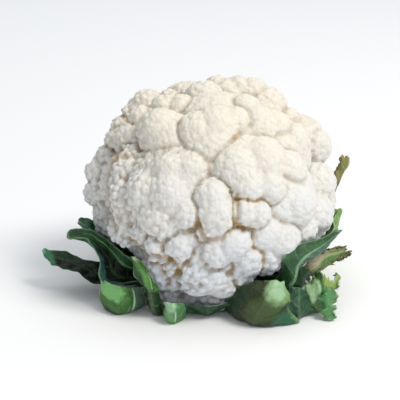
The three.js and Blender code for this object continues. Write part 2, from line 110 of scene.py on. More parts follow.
def seeded_draws(seed: int) -> Callable[[], float]:
    """Makes the fixed row of random numbers that the solids were grown with.

    Args:
        seed: Where the row starts.

    Returns:
        A function that gives the next number, from 0 to 1.
    """
    full = 0xFFFFFFFF
    stride = 0x6D2B79F5
    state = seed

    def draw() -> float:
        """Gives the next number of the row, by the usual shifts of this small generator."""
        nonlocal state
        state = (state + stride) & full
        mixed = ((state ^ (state >> 15)) * (1 | state)) & full
        mixed = ((mixed + (((mixed ^ (mixed >> 7)) * (61 | mixed)) & full)) & full) ^ mixed
        return ((mixed ^ (mixed >> 14)) & full) / (full + 1)

    return draw


def unit(vectors: np.ndarray) -> np.ndarray:
    """Scales one vector, or rows of them, to a length of one."""
    return vectors / np.maximum(np.linalg.norm(vectors, axis=-1, keepdims=True), TINY)


def between(ends: Pair, share: np.ndarray) -> np.ndarray:
    """Gives values between two ends."""
    return ends[0] + share * (ends[1] - ends[0])


def along(values: np.ndarray, share: np.ndarray) -> np.ndarray:
    """Reads the smooth cubic curve that passes through evenly spaced values.

    Args:
        values: The values, one row for each station.
        share: How far along, from 0 at the first station to 1 at the last.

    Returns:
        The values of the curve at those shares.
    """
    last = len(values) - 1
    place = np.clip(share, 0, 1) * last
    i = np.minimum(np.floor(place).astype(int), last - 1)
    f = (place - i).reshape(-1, *([1] * (values.ndim - 1)))
    a, b, c, d = (values[np.clip(i + k, 0, last)] for k in (-1, 0, 1, 2))
    slope, bend, twist = c - a, 2 * a - 5 * b + 4 * c - d, 3 * b - a - 3 * c + d
    return b + 0.5 * (slope * f + bend * f**2 + twist * f**3)


# Shader arithmetic


class Signal:
    """A number, colour or vector that a finish works out over a surface, with arithmetic for numbers."""

    def __init__(self, mixer: "Mixer", socket: bpy.types.NodeSocket) -> None:
        """Wraps one socket of a mixer."""
        self.mixer = mixer
        self.socket = socket

    def math(self, operation: str, *terms: "Signal | float", clamp: bool = False) -> "Signal":
        """Adds one Math node.

        Args:
            operation: The node's operation.
            terms: Its inputs, in order.
            clamp: Whether the result is kept between 0 and 1.

        Returns:
            The result.
        """
        settings = {"operation": operation, "use_clamp": clamp}
        return self.mixer.node("ShaderNodeMath", settings, dict(enumerate(terms)))

    def __add__(self, other: "Signal | float") -> "Signal":
        """Adds."""
        return self.math("ADD", self, other)

    def __radd__(self, other: float) -> "Signal":
        """Adds to a number."""
        return self.math("ADD", other, self)

    def __sub__(self, other: "Signal | float") -> "Signal":
        """Takes away."""
        return self.math("SUBTRACT", self, other)

    def __rsub__(self, other: float) -> "Signal":
        """Takes away from a number."""
        return self.math("SUBTRACT", other, self)

    def __mul__(self, other: "Signal | float") -> "Signal":
        """Multiplies."""
        return self.math("MULTIPLY", self, other)

    def __rmul__(self, other: float) -> "Signal":
        """Multiplies a number."""
        return self.math("MULTIPLY", other, self)

    def __truediv__(self, other: "Signal | float") -> "Signal":
        """Divides."""
        return self.math("DIVIDE", self, other)

    def __rtruediv__(self, other: float) -> "Signal":
        """Divides a number."""
        return self.math("DIVIDE", other, self)

    def __abs__(self) -> "Signal":
        """Drops the sign."""
        return self.math("ABSOLUTE", self)

    def root(self) -> "Signal":
        """Takes the square root."""
        return self.math("SQRT", self)

    def clipped(self) -> "Signal":
        """Keeps the number between 0 and 1."""
        return self.math("ADD", self, 0.0, clamp=True)

    def at_least(self, low: float) -> "Signal":
        """Keeps the number from going under a limit."""
        return self.math("MAXIMUM", self, low)

    def fraction(self) -> "Signal":
        """Keeps what is left over whole numbers."""
        return self.math("FRACT", self)

    def ranged(self, low: float, high: float) -> "Signal":
        """Goes evenly from low at 0 to high at 1."""
        return self * (high - low) + low

    def step(self, low: float, high: float) -> "Signal":
        """Rises smoothly from 0 at low to 1 at high, or falls where low is above high.

        Args:
            low: Where the result is 0.
            high: Where the result is 1.

        Returns:
            The eased number.
        """
        ends = sorted((low, high))
        settings = {"interpolation_type": "SMOOTHSTEP"}
        eased = self.mixer.node("ShaderNodeMapRange", settings, {0: self, 1: ends[0], 2: ends[1]})
        return eased if low < high else 1.0 - eased


@dataclass(frozen=True)
class Clouds:
    """Soft noise: its size in metres, its finer layers, their strength, and how far it is pulled about."""

    size: float
    layers: float = 3.0
    rough: float = 0.55
    warp: float = 0.0


class Mixer:
    """Lays out the nodes of one material."""

    def __init__(self, name: str) -> None:
        """Starts a material of that name with one shader."""
        self.material = bpy.data.materials.new(name)
        self.material.use_nodes = True
        self.tree = self.material.node_tree
        self.shader = self.tree.nodes["Principled BSDF"]

    def feed(self, socket: bpy.types.NodeSocket, value: object) -> None:
        """Gives a socket a value or a link.

        Args:
            socket: The socket to fill.
            value: A signal, a number, a colour or a vector.
        """
        if isinstance(value, Signal):
            self.tree.links.new(value.socket, socket)
        elif socket.type == "RGBA":
            socket.default_value = (*value, 1.0)
        else:
            socket.default_value = value

    def node(
        self,
        kind: str,
        settings: dict[str, object] | None = None,
        inputs: dict[int | str, object] | None = None,
        output: int | str = 0,
    ) -> Signal:
        """Adds a node.

        Args:
            kind: The node's type.
            settings: Its settings, set first.
            inputs: What its sockets get, by number or name.
            output: The socket that the result is read from.

        Returns:
            The node's result.
        """
        made = self.tree.nodes.new(kind)
        for key, value in (settings or {}).items():
            setattr(made, key, value)
        for key, value in (inputs or {}).items():
            self.feed(made.inputs[key], value)
        return Signal(self, made.outputs[output])

    def place(self) -> Signal:
        """Gives the point of the surface in the frame."""
        return self.node("ShaderNodeTexCoord", output="Object")

    def measure(self, axis: str) -> Signal:
        """Gives the place along one axis of the frame, in metres."""
        return self.node("ShaderNodeSeparateXYZ", None, {0: self.place()}, axis)

    def attribute(self, name: str) -> Signal:
        """Gives a number that the mesh holds at its points."""
        return self.node("ShaderNodeAttribute", {"attribute_name": name}, output="Fac")

    def noise(self, clouds: Clouds) -> Signal:
        """Gives soft clouds, as numbers round 0.5."""
        inputs = {"Vector": self.place(), "Scale": 1 / clouds.size, "Detail": clouds.layers}
        inputs |= {"Roughness": clouds.rough, "Distortion": clouds.warp}
        return self.node("ShaderNodeTexNoise", None, inputs)

    def cells(self, size: float, feature: str = "F1") -> Signal:
        """Gives the distance field of scattered points.

        Args:
            size: The cells' size in metres.
            feature: What is measured, such as the distance to the nearest point or to the cell's edge.

        Returns:
            The distance as a share of a cell.
        """
        inputs = {"Vector": self.place(), "Scale": 1 / size}
        return self.node("ShaderNodeTexVoronoi", {"feature": feature}, inputs)

    def blend(self, share: Signal | float, first: object, second: object) -> Signal:
        """Mixes two colours.

        Args:
            share: How much of the second one there is.
            first: A colour or a signal.
            second: A colour or a signal.

        Returns:
            The mixed colour.
        """
        settings = {"data_type": "RGBA", "clamp_factor": True}
        return self.node("ShaderNodeMix", settings, {0: share, 6: first, 7: second}, 2)

    def paint(self, base: Signal, *coats: tuple[Signal, Colour]) -> Signal:
        """Lays coats of colour over each other.

        Args:
            base: The colour under them.
            coats: How much of each coat there is, and its colour, from the lowest up.

        Returns:
            The mixed colour.
        """
        for share, colour in coats:
            base = self.blend(share, base, colour)
        return base

    def bump(
        self, height: Signal, depth: float, strength: Signal | float, under: Signal | None = None
    ) -> Signal:
        """Turns heights into a tilt of the surface.

        Args:
            height: The height as a number.
            depth: How many metres a height of 1 stands for.
            strength: How much of the tilt is used.
            under: A tilt that this one is added to.

        Returns:
            The tilted normal.
        """
        inputs = {"Height": height, "Distance": depth, "Strength": strength}
        if under is not None:
            inputs["Normal"] = under
        return self.node("ShaderNodeBump", None, inputs)

    def dress(self, **sockets: object) -> bpy.types.Material:
        """Feeds the shader's own sockets.

        Args:
            sockets: What each socket gets, named with underscores for spaces.

        Returns:
            The finished material.
        """
        for name, value in sockets.items():
            self.feed(self.shader.inputs[name.replace("_", " ")], value)
        return self.material


# Finishes


@dataclass(frozen=True)
class CurdFinish:
    """Creamy florets: chalky on the domes, amber and brown deep between them, partly real stain and partly
    painted shade, with painted shade in the hollows, cooler as painted shade low down and creamier as
    painted warm light on top.

    Sizes and heights are in metres. A band says where a coat starts and where it is full. Any other pair
    gives the least and the most of something.
    """

    cream: Colour = linear(228, 221, 206)
    white: Colour = linear(222, 222, 220)
    cool_low_shade: Colour = linear(208, 214, 222)
    beige: Colour = linear(205, 190, 164)
    shade: Colour = linear(128, 110, 90)
    amber: Colour = linear(192, 160, 102)
    brown: Colour = linear(116, 84, 42)
    clouds: Clouds = Clouds(0.022, 4.0, 0.6)
    patches: Clouds = Clouds(0.009, 3.0, 0.6)
    grit: Clouds = Clouds(0.0011, 2.0, 0.5)
    grain_size: float = 0.0026
    white_band: Pair = (0.02, 0.075)
    cream_band: Pair = (0.07, 0.13)
    cloud_band: Pair = (0.42, 0.7)
    grain_band: Pair = (0.55, 0.9)
    rim_band: Pair = (0.55, 1.0)
    seam_band: Pair = (0.2, 0.9)
    brown_band: Pair = (0.3, 0.9)
    lit_high_cream: float = 0.9
    cloud_cream: float = 0.35
    crease_beige: float = 0.15
    hollow_beige: float = 0.6
    cloudy_beige: Pair = (0.1, 0.7)
    grain_beige: float = 0.12
    hollow_shade: Pair = (0.25, 0.75)
    seam_shade: Pair = (0.05, 0.5)
    hollow_amber: float = 0.6
    stain_and_shade_amber: float = 0.8
    cloudy_amber: float = 0.15
    least_brown: float = 0.1
    grain_depth: float = 0.0009
    grain_tilt: Pair = (0.5, 0.8)
    grit_depth: float = 0.0005
    grit_tilt: float = 0.3
    roughness: Pair = (0.52, 0.72)
    softness: float = 0.06
    soft_reach: Point = (0.0018, 0.0014, 0.001)
    gloss: float = 0.35

    def material(self) -> bpy.types.Material:
        """Mixes the finish."""
        mix = Mixer("curd_florets")
        seam, crease, hollow, rim, stain_and_shade = map(mix.attribute, ("seam", "crease", "hollow", "rim", "stain_and_shade"))
        height = mix.measure("Z")
        clouds, patches = mix.noise(self.clouds), mix.noise(self.patches)
        grain = mix.cells(self.grain_size)
        # Beige for the creases and hollows: partly the curd's own tint, partly painted shade.
        beige_and_shade = crease * self.crease_beige + hollow * self.hollow_beige
        beige_and_shade = beige_and_shade * clouds.ranged(*self.cloudy_beige)
        # Amber and brown deep in the seams and clefts, strongest at the stained places: partly real
        # browning, partly painted shade.
        deep = (hollow * self.hollow_amber + seam * (1 - self.hollow_amber)).clipped()
        amber_stain_and_shade = (stain_and_shade * self.stain_and_shade_amber + clouds * self.cloudy_amber).clipped()
        base = mix.paint(
            # Painted light and shade: cooler low down where the head is in shade, creamier high up where
            # warm light falls.
            mix.blend(height.step(*self.white_band), self.cool_low_shade, self.white),
            (height.step(*self.cream_band) * self.lit_high_cream, self.cream),
            (clouds.step(*self.cloud_band) * self.cloud_cream, self.cream),
            # Beige in the creases and hollows and at the edges of the fine grain: partly the curd's own
            # tint, partly painted shade.
            (beige_and_shade, self.beige),
            (grain.step(*self.grain_band) * self.grain_beige, self.beige),
            (hollow * rim.step(*self.rim_band).ranged(*self.hollow_shade), self.shade),
            (seam.step(*self.seam_band) * stain_and_shade.ranged(*self.seam_shade), self.shade),
            (deep * amber_stain_and_shade, self.amber),
            ((seam * hollow).step(*self.brown_band) * (self.least_brown + stain_and_shade * patches), self.brown),
        )
        tilt = mix.bump(1.0 - grain * grain, self.grain_depth, rim.ranged(*self.grain_tilt))
        tilt = mix.bump(mix.noise(self.grit), self.grit_depth, self.grit_tilt, tilt)
        return mix.dress(
            Base_Color=base,
            Roughness=patches.ranged(*self.roughness),
            Normal=tilt,
            Subsurface_Weight=self.softness,
            Subsurface_Radius=self.soft_reach,
            Subsurface_Scale=1.0,
            Specular_IOR_Level=self.gloss,
        )


@dataclass(frozen=True)
class Spot:
    """A coloured stretch of a leaf, from the stalk at 0 to the tip at 1, and from edge to edge at -1 and 1.

    share is how strong its colour is, ragged how torn its outline, and edge where that starts and is full.
    """

    colour: Colour
    way: float
    side: float
    long: float
    wide: float
    share: float = 0.9
    ragged: float = 1.0
    edge: Pair = (1.25, 0.6)

    def cover(self, way: Signal, side: Signal, patches: Signal) -> Signal:
        """Tells how much of the colour lies at each place.

        Args:
            way: How far from the stalk to the tip a place is.
            side: How far across.
            patches: The clouds that tear the outline.

        Returns:
            The colour's share.
        """
        off_way = (way - self.way) / self.long
        off_side = (side - self.side) / self.wide
        ring = off_way * off_way + off_side * off_side + (patches - 0.5) * self.ragged
        return ring.step(*self.edge) * self.share


@dataclass(frozen=True)
class LeafFinish:
    """A waxy leaf: two skins, a midrib, side veins and a net of fine ones, a rim, and stretches of colour,
    some of them painted highlights and painted shade.

    Sizes are in metres. A band says where a coat starts and where it is full.
    """

    name: str
    outer: Colour
    inner: Colour
    vein: Colour
    rim: Colour
    shade: Colour
    spots: tuple[Spot, ...] = ()
    vein_share: float = 0.35
    rib_share: float = 0.5
    rim_share: float = 0.5
    dry: Colour = linear(158, 130, 92)
    dry_share: float = 0.0
    roughness: float = 0.34
    sheen: float = 0.4
    clouds: Clouds = Clouds(0.016, 4.0, 0.6)
    patches: Clouds = Clouds(0.0052, 3.0, 0.65)
    specks: Clouds = Clouds(0.0014, 2.0, 0.6)
    wander: Clouds = Clouds(0.012, 2.0)
    wander_reach: float = 0.0035
    vein_bend: float = 9.0
    vein_stagger: float = 0.45
    midrib_band: Pair = (-0.0002, 0.0002)
    vein_width: float = 0.0006
    vein_taper: float = 0.01
    thinnest_vein: float = 0.00025
    vein_band: Pair = (1.6, 0.3)
    rib_widths: Pair = (0.0022, 0.0008)
    rib_band: Pair = (1.2, 0.5)
    net_size: float = 0.003
    net_band: Pair = (0.08, 0.0)
    net_share: float = 0.35
    cloud_band: Pair = (0.36, 0.64)
    cloud_share: float = 0.7
    speck_band: Pair = (0.5, 0.75)
    speck_share: float = 0.12
    rim_band: Pair = (0.86, 1.0)
    rim_stray: float = 0.15
    dry_band: Pair = (0.95, 1.15)
    dry_parts: tuple[float, float, float] = (0.5, 0.35, 0.6)
    dry_strength: float = 2.5
    vein_relief: float = -0.8
    net_relief: float = 0.25
    relief_depth: float = 0.0006
    swell_parts: Pair = (0.8, 0.15)
    swell_depth: float = 0.0026
    tilt: float = 0.6
    rougher: Pair = (0.18, 0.2)

    def side_veins(self, mix: Mixer, length: Signal, across: Signal) -> Signal:
        """Draws the side veins, which leave the midrib by turns and bend towards the tip.

        Args:
            mix: The material's mixer.
            length: How far along the midrib a place is, in metres.
            across: How far from it, in metres.

        Returns:
            The veins, 1 in their middle.
        """
        reach = abs(across)
        wander = (mix.noise(self.wander) - 0.5) * self.wander_reach
        bent = length - reach * VEIN_LEAN + reach * reach * self.vein_bend + wander
        pitch = VEIN_PITCH * MM
        phase = (bent / pitch + across.step(*self.midrib_band) * self.vein_stagger).fraction()
        width = (self.vein_width - reach * self.vein_taper).at_least(self.thinnest_vein)
        return (abs(phase - 0.5) * pitch / width).step(*self.vein_band)

    def material(self) -> bpy.types.Material:
        """Mixes the finish."""
        mix = Mixer(self.name)
        names = ("along", "across", "outside", "margin", "way", "side")
        length, across, outside, margin, way, side = map(mix.attribute, names)
        clouds, patches, specks = map(mix.noise, (self.clouds, self.patches, self.specks))
        veins = self.side_veins(mix, length, across)
        net = mix.cells(self.net_size, "DISTANCE_TO_EDGE").step(*self.net_band)
        ribs = (abs(across) / way.ranged(*self.rib_widths)).step(*self.rib_band)
        edge = (margin + (patches - 0.5) * self.rim_stray).step(*self.rim_band)
        by_clouds, by_margin, by_patches = self.dry_parts
        withered = clouds * by_clouds + margin * by_margin + patches * by_patches + self.dry_share
        withered = withered.step(*self.dry_band)
        skin = mix.paint(
            mix.blend(outside, self.inner, self.outer),
            (clouds.step(*self.cloud_band) * self.cloud_share, self.shade),
            (specks.step(*self.speck_band) * self.speck_share, self.vein),
            *((spot.cover(way, side, patches), spot.colour) for spot in self.spots),
            ((net * self.net_share + veins) * self.vein_share, self.vein),
            (ribs * self.rib_share, self.vein),
            (edge * self.rim_share, self.rim),
            (withered * min(1.0, self.dry_share * self.dry_strength), self.dry),
        )
        relief = (1.0 - outside * 2.0) * (veins + ribs) * self.vein_relief + net * self.net_relief
        swell = patches + clouds * self.swell_parts[0] + specks * self.swell_parts[1]
        tilt = mix.bump(relief, self.relief_depth, self.tilt)
        return mix.dress(
            Base_Color=skin,
            Roughness=self.roughness + patches * self.rougher[0] + withered * self.rougher[1],
            Normal=mix.bump(swell, self.swell_depth, self.tilt, tilt),
            Specular_IOR_Level=self.sheen,
        )


class Tone(Enum):
    """The leaf slots of the record."""

    DARK = "leaf_dark"
    GREEN = "leaf_green"
    LIGHT = "leaf_light"
    WITHERED = "leaf_withered"


DARK_LEAF = LeafFinish(
    "leaf_dark_finish",
    outer=linear(40, 66, 38),
    inner=linear(38, 62, 42),
    vein=linear(96, 130, 92),
    rim=linear(110, 150, 112),
    shade=linear(14, 30, 14),
)
GREEN_LEAF = LeafFinish(
    "leaf_green_finish",
    outer=linear(56, 100, 58),
    inner=linear(46, 88, 56),
    vein=linear(128, 168, 124),
    rim=linear(146, 182, 140),
    shade=linear(22, 56, 28),
)
LIGHT_LEAF = LeafFinish(
    "leaf_light_finish",
    outer=linear(92, 150, 74),
    inner=linear(84, 138, 74),
    vein=linear(168, 204, 146),
    rim=linear(192, 216, 172),
    shade=linear(40, 92, 34),
)
WITHERED_LEAF = LeafFinish(
    "leaf_withered_finish",
    outer=linear(132, 138, 92),
    inner=linear(124, 130, 86),
    vein=linear(184, 182, 140),
    rim=linear(122, 104, 66),
    shade=linear(84, 106, 56),
    dry=linear(158, 142, 104),
    dry_share=0.22,
    roughness=0.5,
)


@dataclass(frozen=True)
class StalkFinish:
    """Pale green stalk with fibres, and a cut foot with its ring of strands.

    Sizes are in metres. A band says where a coat starts and where it is full.
    """

    skin: Colour = linear(186, 200, 148)
    fibre: Colour = linear(222, 226, 190)
    cut: Colour = linear(232, 232, 206)
    ring: Colour = linear(170, 186, 128)
    brown: Colour = linear(170, 142, 96)
    fibres: Clouds = Clouds(0.0016, 3.0, 0.6, 1.5)
    clouds: Clouds = Clouds(0.012)
    cut_band: Pair = (0.0012, 0.0002)
    fibre_band: Pair = (0.4, 0.7)
    fibre_share: float = 0.6
    scar_band: Pair = (0.6, 0.8)
    scar_share: float = 0.4
    ring_radius: float = 0.0165
    ring_band: Pair = (0.0016, 0.0004)
    strand_size: float = 0.003
    strand_band: Pair = (0.55, 0.25)
    rim_band: Pair = (0.019, 0.023)
    rim_share: float = 0.6
    aged_band: Pair = (0.45, 0.8)
    aged_share: float = 0.35
    roughness: Pair = (0.5, 0.7)
    strand_relief: float = 0.5
    relief_depth: float = 0.0006
    tilt: float = 0.6
    gloss: float = 0.45

    def material(self) -> bpy.types.Material:
        """Mixes the finish."""
        mix = Mixer("stalk_flesh")
        across, forward, height = map(mix.measure, "XYZ")
        radius = (across * across + forward * forward).root()
        fibres, clouds = mix.noise(self.fibres), mix.noise(self.clouds)
        ring = abs(radius - self.ring_radius).step(*self.ring_band)
        strands = ring * mix.cells(self.strand_size).step(*self.strand_band)
        side = mix.paint(
            mix.blend(fibres.step(*self.fibre_band) * self.fibre_share, self.skin, self.fibre),
            (clouds.step(*self.scar_band) * self.scar_share, self.brown),
        )
        face = mix.paint(
            mix.blend(strands, self.cut, self.ring),
            (radius.step(*self.rim_band) * self.rim_share, self.ring),
            (clouds.step(*self.aged_band) * self.aged_share, self.brown),
        )
        relief = fibres + strands * self.strand_relief
        return mix.dress(
            Base_Color=mix.blend(height.step(*self.cut_band), side, face),
            Roughness=fibres.ranged(*self.roughness),
            Normal=mix.bump(relief, self.relief_depth, self.tilt),
            Specular_IOR_Level=self.gloss,
        )


@dataclass(frozen=True)
class TableFinish:
    """A plain pale table."""

    pale: Colour = (0.93, 0.93, 0.93)
    dimmer: Colour = (0.9, 0.9, 0.9)
    clouds: Clouds = Clouds(0.2, 2.0)
    dimmer_share: float = 0.04
    roughness: float = 0.8
    gloss: float = 0.2

    def material(self) -> bpy.types.Material:
        """Mixes the finish."""
        mix = Mixer("pale_table")
        colour = mix.blend(mix.noise(self.clouds) * self.dimmer_share, self.pale, self.dimmer)
        return mix.dress(Base_Color=colour, Roughness=self.roughness, Specular_IOR_Level=self.gloss)


# Meshes


@dataclass
class Skin:
    """A mesh in the making: points in millimetres, faces, and numbers held at the points."""

    points: np.ndarray
    faces: np.ndarray | list[tuple[int, ...]]
    marks: dict[str, np.ndarray] = field(default_factory=dict)

    def mesh(self, name: str) -> bpy.types.Mesh:
        """Makes the mesh in metres.

        Args:
            name: The mesh's name.

        Returns:
            The mesh, smoothly shaded.
        """
        mesh = bpy.data.meshes.new(name)
        faces = self.faces.tolist() if isinstance(self.faces, np.ndarray) else self.faces
        mesh.from_pydata((self.points * MM).tolist(), [], faces)
        for key, values in self.marks.items():
            layer = mesh.attributes.new(key, "FLOAT", "POINT")
            layer.data.foreach_set("value", np.asarray(values, np.float32))
        mesh.shade_smooth()
        mesh.update()
        return mesh

    def joined(self, other: "Skin") -> "Skin":
        """Adds another skin with the same marks."""
        marks = {key: np.concatenate([self.marks[key], other.marks[key]]) for key in self.marks}
        faces = np.concatenate([self.faces, other.faces + len(self.points)])
        return Skin(np.concatenate([self.points, other.points]), faces, marks)

    def outside(self) -> "Skin":
        """Keeps the largest connected part and drops what is closed in under it.

        Returns:
            The outer skin alone.
        """
        label = np.arange(len(self.points))
        while True:
            lowest = label[self.faces].min(axis=1)
            fresh = label.copy()
            for corner in self.faces.T:
                np.minimum.at(fresh, corner, lowest)
            fresh = fresh[fresh]
            if (fresh == label).all():
                break
            label = fresh
        keep = label == np.bincount(label).argmax()
        number = np.cumsum(keep) - 1
        return Skin(self.points[keep], number[self.faces[keep[self.faces].all(axis=1)]])


def show(skin: Skin, name: str, finish: bpy.types.Material, node: str) -> bpy.types.Object:
    """Stands a piece in the scene in place of its solid.

    Args:
        skin: The piece's mesh in the making.
        name: The piece's name.
        finish: Its material.
        node: The solid that it stands for.

    Returns:
        The piece.
    """
    piece = bpy.data.objects.new(name, skin.mesh(name))
    piece.data.materials.append(finish)
    bpy.context.scene.collection.objects.link(piece)
    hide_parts(node)
    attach(piece, ROOT)
    log.info("%s: %d points, %s", name, len(skin.points), finish.name)
    return piece


def ball_template(fineness: int) -> Skin:
    """Makes a ball of radius 1 of even triangles.

    Args:
        fineness: How many times its faces are split.

    Returns:
        The ball's points and faces.
    """
    made = bmesh.new()
    bmesh.ops.create_icosphere(made, subdivisions=fineness, radius=1.0)
    points = np.array([vertex.co[:] for vertex in made.verts])
    faces = np.array([[vertex.index for vertex in face.verts] for face in made.faces])
    made.free()
    return Skin(points, faces)


def closed_grid(rows: int, columns: int) -> np.ndarray:
    """Gives the faces of two like grids that are joined round their edge.

    Args:
        rows: Points along the grid.
        columns: Points across it.

    Returns:
        Four-sided faces that look outwards.
    """
    place = np.arange(rows * columns).reshape(rows, columns)
    below = place + rows * columns
    a, b, c, d = place[:-1, :-1], place[1:, :-1], place[1:, 1:], place[:-1, 1:]
    top = np.stack([a, b, c, d], axis=-1).reshape(-1, 4)
    bottom = top[:, ::-1] + rows * columns
    rim, under = (
        np.concatenate([part[:, 0], part[-1, 1:], part[-2::-1, -1], part[0, -2:0:-1]])
        for part in (place, below)
    )
    wall = np.stack([np.roll(rim, -1), rim, under, np.roll(under, -1)], axis=-1)
    return np.concatenate([top, bottom, wall])


def strewn(points: np.ndarray, spacing: np.ndarray, draws: np.random.Generator, share: float) -> list[int]:
    """Picks points that keep their distance from each other.

    Args:
        points: The points to pick from.
        spacing: The distance that each keeps.
        draws: The random draws.
        share: The share of the points that is tried.

    Returns:
        The numbers of the picked points.
    """
    box = float(spacing.max())
    cells = np.floor(points / box).astype(int).tolist()
    places, gaps = points.tolist(), spacing.tolist()
    around = [(a, b, c) for a in (-1, 0, 1) for b in (-1, 0, 1) for c in (-1, 0, 1)]
    taken: dict[tuple[int, int, int], list[int]] = {}
    chosen = []
    for k in draws.permutation(len(points))[:int(len(points) * share)].tolist():
        x, y, z = cells[k]
        near = (other for a, b, c in around for other in taken.get((x + a, y + b, z + c), ()))
        if all(math.dist(places[k], places[other]) > (gaps[k] + gaps[other]) / 2 for other in near):
            taken.setdefault((x, y, z), []).append(k)
            chosen.append(k)
    return chosen


class Web:
    """The neighbours of each point of a skin of four-sided faces."""

    def __init__(self, skin: Skin, pull: float = 0.6) -> None:
        """Finds the neighbours.

        Args:
            skin: The skin that is worked on.
            pull: How far one smoothing draws a point towards its neighbours' middle.
        """
        self.faces = skin.faces
        self.size = len(skin.points)
        self.one = self.faces.ravel()
        self.other = np.roll(self.faces, -1, axis=1).ravel()
        self.share = np.maximum(np.bincount(self.one, minlength=self.size), 1)[:, None]
        self.pull = pull

    def gathered(self, rows: np.ndarray) -> np.ndarray:
        """Adds rows up, one for each corner of the faces, at the points they belong to."""
        return np.stack([np.bincount(self.one, column, self.size) for column in rows.T], axis=1)

    def smoothed(self, rows: np.ndarray, times: int) -> np.ndarray:
        """Draws what each point holds towards its neighbours' middle.

        Args:
            rows: Places or numbers, one row for each point.
            times: How often this is done.

        Returns:
            The smoother rows.
        """
        for _ in range(times):
            rows = rows * (1 - self.pull) + self.gathered(rows[self.other]) / self.share * self.pull
        return rows

    def eased(self, numbers: np.ndarray, times: int) -> np.ndarray:
        """Smooths one number for each point."""
        return self.smoothed(numbers[:, None], times)[:, 0]

    def normals(self, points: np.ndarray) -> np.ndarray:
        """Gives the way the skin faces at each point."""
        a, b, c, d = (points[corner] for corner in self.faces.T)
        return unit(self.gathered(np.repeat(np.cross(c - a, d - b), 4, axis=0)))


# The curd


class Grain(Enum):
    """How far a floret's buds stand out, as a share of the knobbliest."""

    SMOOTH = 0.4
    KNOBBLY = 1.0


@dataclass(frozen=True)
class Floret:
    """One floret of the front, measured along the line of sight from the head's middle.

    A lobe is (across, up, radius). sink is how far the dome under them lies back.
    """

    middle: Pair
    reach: float
    lobes: tuple[Point, ...]
    grain: Grain = Grain.SMOOTH
    sink: float = 0.0


@dataclass(frozen=True)
class Ball:
    """A ball of flesh: the floret it belongs to, the look of its buds, and the height it is cut flat at."""

    centre: np.ndarray
    radius: float
    floret: int
    grain: Grain = Grain.SMOOTH
    floor: float = -math.inf


@dataclass(frozen=True)
class Cleft:
    """A dark cleft that the front shows, along places measured from the head's middle."""

    depth: float
    width: float
    places: tuple[Pair, ...]


FRONT_FLORETS = (
    Floret((-38, -5), 34, (
        (-55, 14, 15), (-27, 15, 11), (-13, 15, 11), (-27, -2, 14), (-43, 0, 12), (-15, -15, 11),
        (-35, -16, 12), (-58, -5, 13), (-56, -22, 13), (-43, -30, 10), (-29, -25, 10)), Grain.KNOBBLY),
    Floret((2, -14), 18, ((1, -4, 11), (4, -15, 12), (1, -26, 10)), Grain.KNOBBLY),
    Floret((-36, 43), 20, ((-34, 41, 13), (-31, 55, 10), (-46, 49, 9))),
    Floret((-49, 57), 18, ((-46, 62, 11), (-56, 55, 9)), Grain.KNOBBLY),
    Floret((-65, 43), 15, ((-64, 49, 9), (-65, 36, 9)), Grain.KNOBBLY),
    Floret((-25, 67), 12, ((-28, 65, 9),)),
    Floret((2, 42), 26, ((-9, 40, 12), (4, 43, 13), (17, 45, 11))),
    Floret((8, 66), 30, ((-4, 62, 12), (7, 70, 11), (19, 70, 12), (30, 67, 11))),
    Floret((35, 52), 27, ((38, 59, 14), (32, 43, 13), (43, 43, 11), (24, 55, 10))),
    Floret((64, 39), 24, ((56, 49, 10), (57, 35, 10), (69, 47, 10), (75, 34, 11))),
    Floret((33, 14), 30, ((17, 14, 14), (35, 20, 14), (52, 14, 12), (25, 3, 10), (40, 3, 10))),
    Floret((66, -8), 28, (
        (57, -8, 13), (72, 6, 12), (80, -6, 10), (71, -15, 12), (79, -22, 10), (62, -27, 10))),
    Floret((27, -15), 13, ((23, -14, 8), (32, -15, 8)), Grain.KNOBBLY),
    Floret((46, -38), 21, ((46, -32, 13), (38, -45, 10), (54, -43, 11))),
    Floret((14, -41), 20, ((15, -34, 11), (3, -41, 10), (2, -33, 8), (25, -45, 11), (19, -54, 10))),
    Floret((-4, -56), 20, ((-8, -53, 12), (1, -56, 9), (8, -58, 10)), Grain.KNOBBLY),
    Floret((1, -66), 16, ((-10, -70, 9), (3, -71, 9), (15, -68, 9)), Grain.KNOBBLY),
    Floret((-34, -55), 14, ((-34, -54, 11),), Grain.KNOBBLY),
    Floret((-26, -66), 12, ((-27, -69, 9),), Grain.KNOBBLY),
    Floret((-19, -38), 14, ((-21, -37, 10), (-23, -47, 9)), Grain.KNOBBLY),
    Floret((-36, -38), 14, ((-36, -38, 9), (-31, -42, 7)), Grain.KNOBBLY),
    Floret((-77, 8), 22, ((-73, 25, 9), (-79, 14, 8), (-81, 0, 9), (-79, -17, 9)), Grain.KNOBBLY, 3.0),
)

CLEFTS = (
    Cleft(5.2, 3.0, ((-66, 32), (-72, 22), (-75, 13), (-76, 4), (-75, -6), (-73, -16), (-69, -27))),
    Cleft(3.0, 1.5, ((19, -2), (20, -12), (19, -22), (24, -27))),
    Cleft(1.6, 1.4, ((-24, -29), (-17, -29), (-11, -27), (-8, -24))),
    Cleft(2.2, 1.4, ((-8, -24), (-7, -29), (-5, -33), (1, -35), (8, -32))),
    Cleft(3.5, 2.2, ((-59, -33), (-52, -39), (-46, -45), (-37, -47), (-31, -47), (-25, -50))),
    Cleft(2.0, 1.4, ((-22, -54), (-24, -59), (-22, -64), (-22, -70))),
    Cleft(2.6, 1.5, ((-18, -67), (-12, -68), (-7, -67))),
    Cleft(2.2, 1.8, ((-71, 36), (-68, 31), (-63, 26), (-55, 25), (-46, 26), (-35, 28), (-24, 29))),
)

